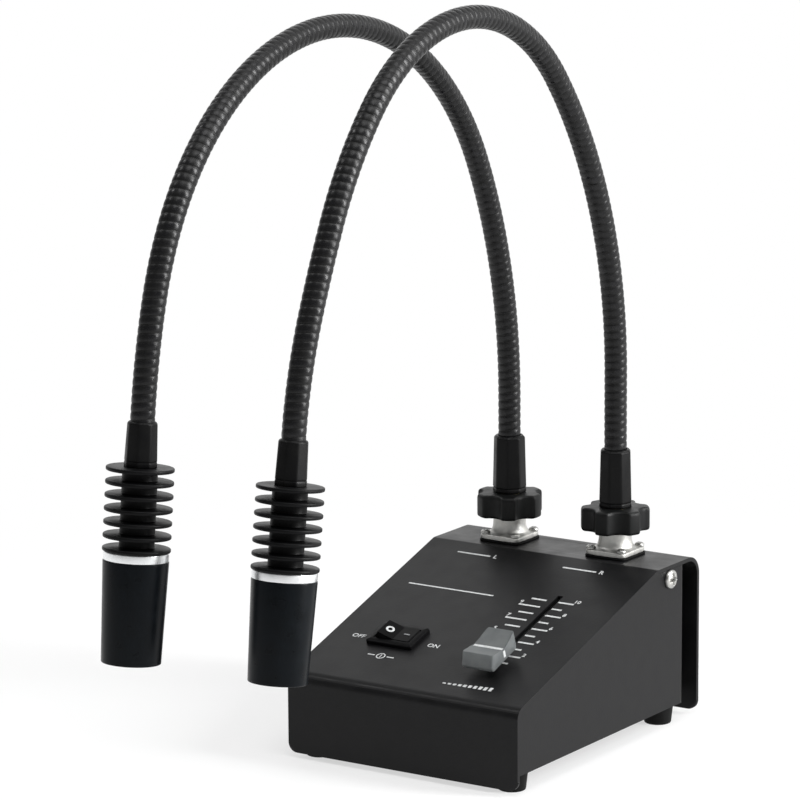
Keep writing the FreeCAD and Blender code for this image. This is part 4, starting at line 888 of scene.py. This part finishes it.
def make_cap():
    """The fader's finger cap: a side outline carried across, drawn in towards its middle at both ends. The
    further back a point of it lies, the less far out it lies."""
    dish = np.linspace(CAP_FRONT, CAP_REAR, 18)
    outline = np.vstack([
        [(CAP_PROFILE_FRONT + 0.8, CAP_FOOT), (CAP_PROFILE_FRONT, 4.3)],
        np.stack([dish, cap_height(dish)], -1),
        [(CAP_REAR, CAP_FOOT + 0.7), (CAP_REAR - 0.7, CAP_FOOT)],
    ])
    ends = rounded(outline, 0.45, closed=True, steps=3)
    half = CAP_HALF
    inset = np.array([0.7, 0.25, 0.06, 0.0])
    stations = np.array([-half, -half + 0.2, -half + 0.55, -half + 1.0])
    stations = np.concatenate([stations, -stations[::-1]])
    inset = np.concatenate([inset, inset[::-1]])
    middle = ends.mean(0)
    away = ends - middle
    length = np.linalg.norm(away, axis=1, keepdims=True)
    rings = middle + away[None] * (1 - inset[:, None, None] / length[None])
    points = np.concatenate([np.broadcast_to(stations[:, None, None], rings.shape[:2] + (1,)), rings], -1)
    centre = np.broadcast_to(middle, (1, len(ends), 2))
    caps = [np.concatenate([np.full((1, len(ends), 1), x), centre], -1) for x in (-half, half)]
    points = np.concatenate([caps[0], points, caps[1]])
    behind = np.clip((points[..., 1:2] - CAP_LINE) / (CAP_REAR - CAP_LINE), 0, 1)
    points[..., :1] *= 1 - behind * np.where(points[..., :1] < 0, *CAP_REAR_DRAW)
    place = moved(PANEL, FADER_X, 0, 0)
    piece("finger_cap", "fader", "cap", "cap_grey",
          in_place(place, points), grid_faces(len(points), len(ends)), 40.0, ["fader_cap"])

    # The index line lies in the dish and runs down both ends of the cap
    low, high, skin = CAP_LINE - LINE_HALF, CAP_LINE + LINE_HALF, 0.05
    top = float(cap_height(np.array(high)))
    foot, shoulder = 4.4, top - 0.55
    marks = [
        (-half + 0.5, half - 0.5, low, high, top - 0.3, top + skin),
        (half - 0.3, half + skin, low, high, foot, shoulder),
        (-half - skin, -half + 0.3, low, high, foot, shoulder),
    ]
    piece("cap_index_line", "fader", "ink", "cap_grey", *slabs(place, marks))


# Printing on the sloped panel

SCALE_START = 25.2
SCALE_STEP = 5.22
SLOT_EDGES = (20.4, 25.9)
SHORT_TICKS = (13.6, 30.4)
LONG_TICKS = (10.6, 33.0)
TICK_HALF = 0.48
INK_THICK = 0.03
NUMBER_HEIGHT = 2.2
WORD_HEIGHT = 2.5
LETTER_HEIGHT = 2.6
ARM_MARKS = 102.6
LEADER_LENGTH = 15.5
LEADER_HALF = 0.45
BAR_PITCH = 2.3
BAR_WIDTH = 1.4
BAR_RISE = 0.18
SIGN_X = -23.0
SIGN_ALONG = 21.7
SIGN_RING = (1.5, 1.95)
SIZE_PER_HEIGHT = 1.35
SWELL_PER_HEIGHT = 0.025


def make_scale():
    """A tick for each number on both sides of the slot. Even ones are numbered and longer on the right, odd
    ones on the left, and each number stands just above its tick's outer end."""
    ticks = []
    for i in range(1, 11):
        along = SCALE_START + SCALE_STEP * i
        low, high = along - TICK_HALF, along + TICK_HALF
        even = i % 2 == 0
        left = (SHORT_TICKS if even else LONG_TICKS)[0]
        right = (LONG_TICKS if even else SHORT_TICKS)[1]
        ticks.append((left, SLOT_EDGES[0], low, high))
        ticks.append((SLOT_EDGES[1], right, low, high))
        lettered("scale_number_%d" % i, str(i), right + 0.6 if even else left + 0.3, along + 2.0,
                 NUMBER_HEIGHT)
    boxes = [(*tick, 0, INK_THICK) for tick in ticks]
    piece("fader_scale", "base", "ink", "powder_coat", *slabs(PANEL, boxes))


def lettered(name, words, x, along, height):
    """Printed characters, centred at a place on the slope and swollen a little, as wet ink is."""
    curve = bpy.data.curves.new(name, "FONT")
    curve.body = words
    curve.size = height * SIZE_PER_HEIGHT * MM
    curve.align_x = "CENTER"
    curve.align_y = "CENTER"
    curve.extrude = INK_THICK / 2 * MM
    curve.offset = height * SWELL_PER_HEIGHT * MM
    curve.resolution_u = 3
    flat = bpy.data.objects.new(name + "_curve", curve)
    bpy.context.scene.collection.objects.link(flat)
    bpy.context.view_layer.update()
    mesh = bpy.data.meshes.new_from_object(flat)
    bpy.data.objects.remove(flat)
    mesh.name = name
    origin, across, up, off = moved(PANEL, x, along, INK_THICK / 2)
    turn = Matrix(np.array([across, up, off]).T.tolist()).to_4x4()
    mesh.transform(Matrix.Translation(Vector(origin * MM)) @ turn)
    settle(name, mesh, "base", "ink", 35.0, ())


def make_printing():
    """ON and OFF beside the switch, a ring with a bar between two dashes below it, ten rising bars for the
    level, a plain rule across the slope, and a leader line with L or R before each socket."""
    make_scale()
    lettered("word_off", "OFF", -40.4, 32.9, WORD_HEIGHT)
    lettered("word_on", "ON", -6.1, 34.1, WORD_HEIGHT)
    lettered("letter_left_arm", "L", -18.6, ARM_MARKS, LETTER_HEIGHT)
    lettered("letter_right_arm", "R", 31.2, ARM_MARKS, LETTER_HEIGHT)
    low, high = ARM_MARKS - 0.05 - LEADER_HALF, ARM_MARKS - 0.05 + LEADER_HALF
    leaders = [(start, start + LEADER_LENGTH, low, high) for start in (-36.5, 13.3)]
    starts = 12.6 + BAR_PITCH * np.arange(10)
    bars = [(start, start + BAR_WIDTH, 10.4, 11.2 + BAR_RISE * i) for i, start in enumerate(starts)]
    rule = [(-43.0, -3.0, 74.6, 75.4)]
    low, high = SIGN_ALONG - 0.3, SIGN_ALONG + 0.3
    sign = [(SIGN_X - 0.2, SIGN_X + 0.2, SIGN_ALONG - 1.1, SIGN_ALONG + 1.1),
            (SIGN_X - 6.0, SIGN_X - 2.8, low, high), (SIGN_X + 2.8, SIGN_X + 6.0, low, high)]
    boxes = [(*mark, 0, INK_THICK) for mark in leaders + bars + rule + sign]
    piece("panel_marks", "base", "ink", "powder_coat", *slabs(PANEL, boxes))
    inner, outer = SIGN_RING
    ring = [(inner, 0), (outer, 0), (outer, INK_THICK), (inner, INK_THICK)]
    piece("power_sign_ring", "base", "ink", "powder_coat",
          *revolved(ring, moved(PANEL, SIGN_X, SIGN_ALONG, 0), around=48, closed=True))


for side in SIDES:
    make_necks(side)
    make_coupling(side)
    make_head(side)
make_gaskets()
make_screws()
make_box()
make_switch()
make_cap()
make_printing()


# Studio: the photograph's viewpoint, a pale floor and soft lamps

AZIMUTH = math.radians(33.44)
ELEVATION = math.radians(11.99)
ROLL = math.radians(-0.37)
IMAGE = 800
FOCAL_PIXELS = 4709.56
DISTANCE = 1866.44
AIM = np.array([0.0, 70.0 + FRONT_Y, 60.0])
AIM_PIXEL = (497.51, 588.76)


def make_camera():
    """The camera that sees the aim point at its pixel of the photograph, from the fitted direction."""
    level_reach = math.cos(ELEVATION)
    back = np.array([
        math.sin(AZIMUTH) * level_reach, -math.cos(AZIMUTH) * level_reach, math.sin(ELEVATION)])
    level = np.array([math.cos(AZIMUTH), math.sin(AZIMUTH), 0])
    upward = np.cross(back, level)
    right = level * math.cos(ROLL) + upward * math.sin(ROLL)
    up = upward * math.cos(ROLL) - level * math.sin(ROLL)
    beside = (AIM_PIXEL[0] - IMAGE / 2) / FOCAL_PIXELS * DISTANCE
    above = (IMAGE / 2 - AIM_PIXEL[1]) / FOCAL_PIXELS * DISTANCE
    centre = AIM - beside * right - above * up + DISTANCE * back
    data = bpy.data.cameras.new("camera")
    data.sensor_width = 36
    data.lens = FOCAL_PIXELS / IMAGE * data.sensor_width
    data.clip_end = 50
    camera = bpy.data.objects.new("camera", data)
    turn = Matrix(np.array([right, up, back]).T.tolist()).to_4x4()
    camera.matrix_world = Matrix.Translation(Vector(centre * MM)) @ turn
    bpy.context.scene.collection.objects.link(camera)
    bpy.context.scene.camera = camera


def background_share(tree):
    """1 for what the camera, a gloss or a clear piece sees, and 0 for light that falls on the object."""
    path = add(tree, "ShaderNodeLightPath")
    seen = add(tree, "ShaderNodeMath", {0: path.outputs["Is Camera Ray"], 1: path.outputs["Is Glossy Ray"]},
               operation="MAXIMUM")
    return add(tree, "ShaderNodeMath", {0: seen.outputs["Value"], 1: path.outputs["Is Transmission Ray"]},
               operation="MAXIMUM").outputs["Value"]


def make_floor():
    """A pale round floor that keeps the shadow near the object and turns to the background's white
    beyond."""
    radius, around = 6.0, 64
    angle = np.linspace(0, 2 * math.pi, around, endpoint=False)
    points = np.stack([np.cos(angle), np.sin(angle), 0 * angle], -1) * radius
    mesh = bpy.data.meshes.new("floor")
    mesh.from_pydata(points.tolist(), [], [list(range(around))])
    floor = bpy.data.objects.new("floor", mesh)
    bpy.context.scene.collection.objects.link(floor)
    material, tree, place = blank("pale_seamless_paper")
    reach = add(tree, "ShaderNodeVectorMath", {0: place}, operation="LENGTH").outputs["Value"]
    near = add(tree, "ShaderNodeMapRange", {
        "Value": reach, "From Min": 0.16, "From Max": 0.5, "To Min": 0.6, "To Max": 1.0,
    }, interpolation_type="SMOOTHSTEP").outputs["Result"]
    share = add(tree, "ShaderNodeMath", {0: near, 1: background_share(tree)}, operation="MULTIPLY")
    paper = add(tree, "ShaderNodeBsdfDiffuse", {"Color": linear("f0f0f0")})
    white = add(tree, "ShaderNodeEmission", {"Color": (1, 1, 1, 1), "Strength": 1.0})
    mixed = add(tree, "ShaderNodeMixShader", {
        "Fac": share.outputs["Value"], 1: paper.outputs["BSDF"], 2: white.outputs["Emission"]})
    add(tree, "ShaderNodeOutputMaterial", {"Surface": mixed.outputs["Shader"]})
    mesh.materials.append(material)


def make_world():
    """Soft even light. What a gloss reflects fades from white behind the object to a dim room in front of
    it, and the camera and a clear piece see white all round."""
    world = bpy.data.worlds.new("studio")
    world.use_nodes = True
    bpy.context.scene.world = world
    tree = world.node_tree
    tree.nodes.clear()
    heading = add(tree, "ShaderNodeTexCoord").outputs["Generated"]
    depth = add(tree, "ShaderNodeSeparateXYZ", {0: heading}).outputs["Y"]
    behind = add(tree, "ShaderNodeMapRange", {
        "Value": depth, "From Min": -0.1, "From Max": 0.4, "To Min": 0.2, "To Max": 1.0,
    }, interpolation_type="SMOOTHSTEP").outputs["Result"]
    path = add(tree, "ShaderNodeLightPath")
    plain = add(tree, "ShaderNodeMath", {
        0: path.outputs["Is Camera Ray"], 1: path.outputs["Is Transmission Ray"]}, operation="MAXIMUM")
    level = add(tree, "ShaderNodeMath", {0: plain.outputs["Value"], 1: behind}, operation="MAXIMUM")
    soft = add(tree, "ShaderNodeBackground", {"Color": (1, 1, 1, 1), "Strength": 0.45})
    white = add(tree, "ShaderNodeBackground", {"Color": (1, 1, 1, 1), "Strength": level.outputs["Value"]})
    mixed = add(tree, "ShaderNodeMixShader", {
        "Fac": background_share(tree), 1: soft.outputs["Background"], 2: white.outputs["Background"]})
    add(tree, "ShaderNodeOutputWorld", {"Surface": mixed.outputs["Shader"]})


def lamp(name, spot, aim, size, watts):
    """A soft lamp of a width and a height at a spot, turned to face an aim point."""
    data = bpy.data.lights.new(name, "AREA")
    data.shape = "RECTANGLE"
    data.size, data.size_y = size
    data.energy = watts
    light = bpy.data.objects.new(name, data)
    light.location = spot
    light.rotation_euler = (Vector(aim) - Vector(spot)).to_track_quat("-Z", "Y").to_euler()
    bpy.context.scene.collection.objects.link(light)


make_camera()
make_world()
make_floor()
lamp("strip_lamp", (1.35, 0.5, 0.7), (0, 0, 0.15), (0.4, 1.2), 35)
lamp("rear_lamp", (-0.9, 1.35, 0.65), (0, 0, 0.1), (1.2, 0.8), 1.6)
lamp("top_lamp", (0.5, -0.3, 1.6), (0, 0, 0.1), (1.0, 1.0), 11)
lamp("window_lamp", (-0.97, -0.55, 1.4), (0, 0, 0.1), (0.3, 0.3), 4)
bpy.context.scene.view_settings.view_transform = "Standard"
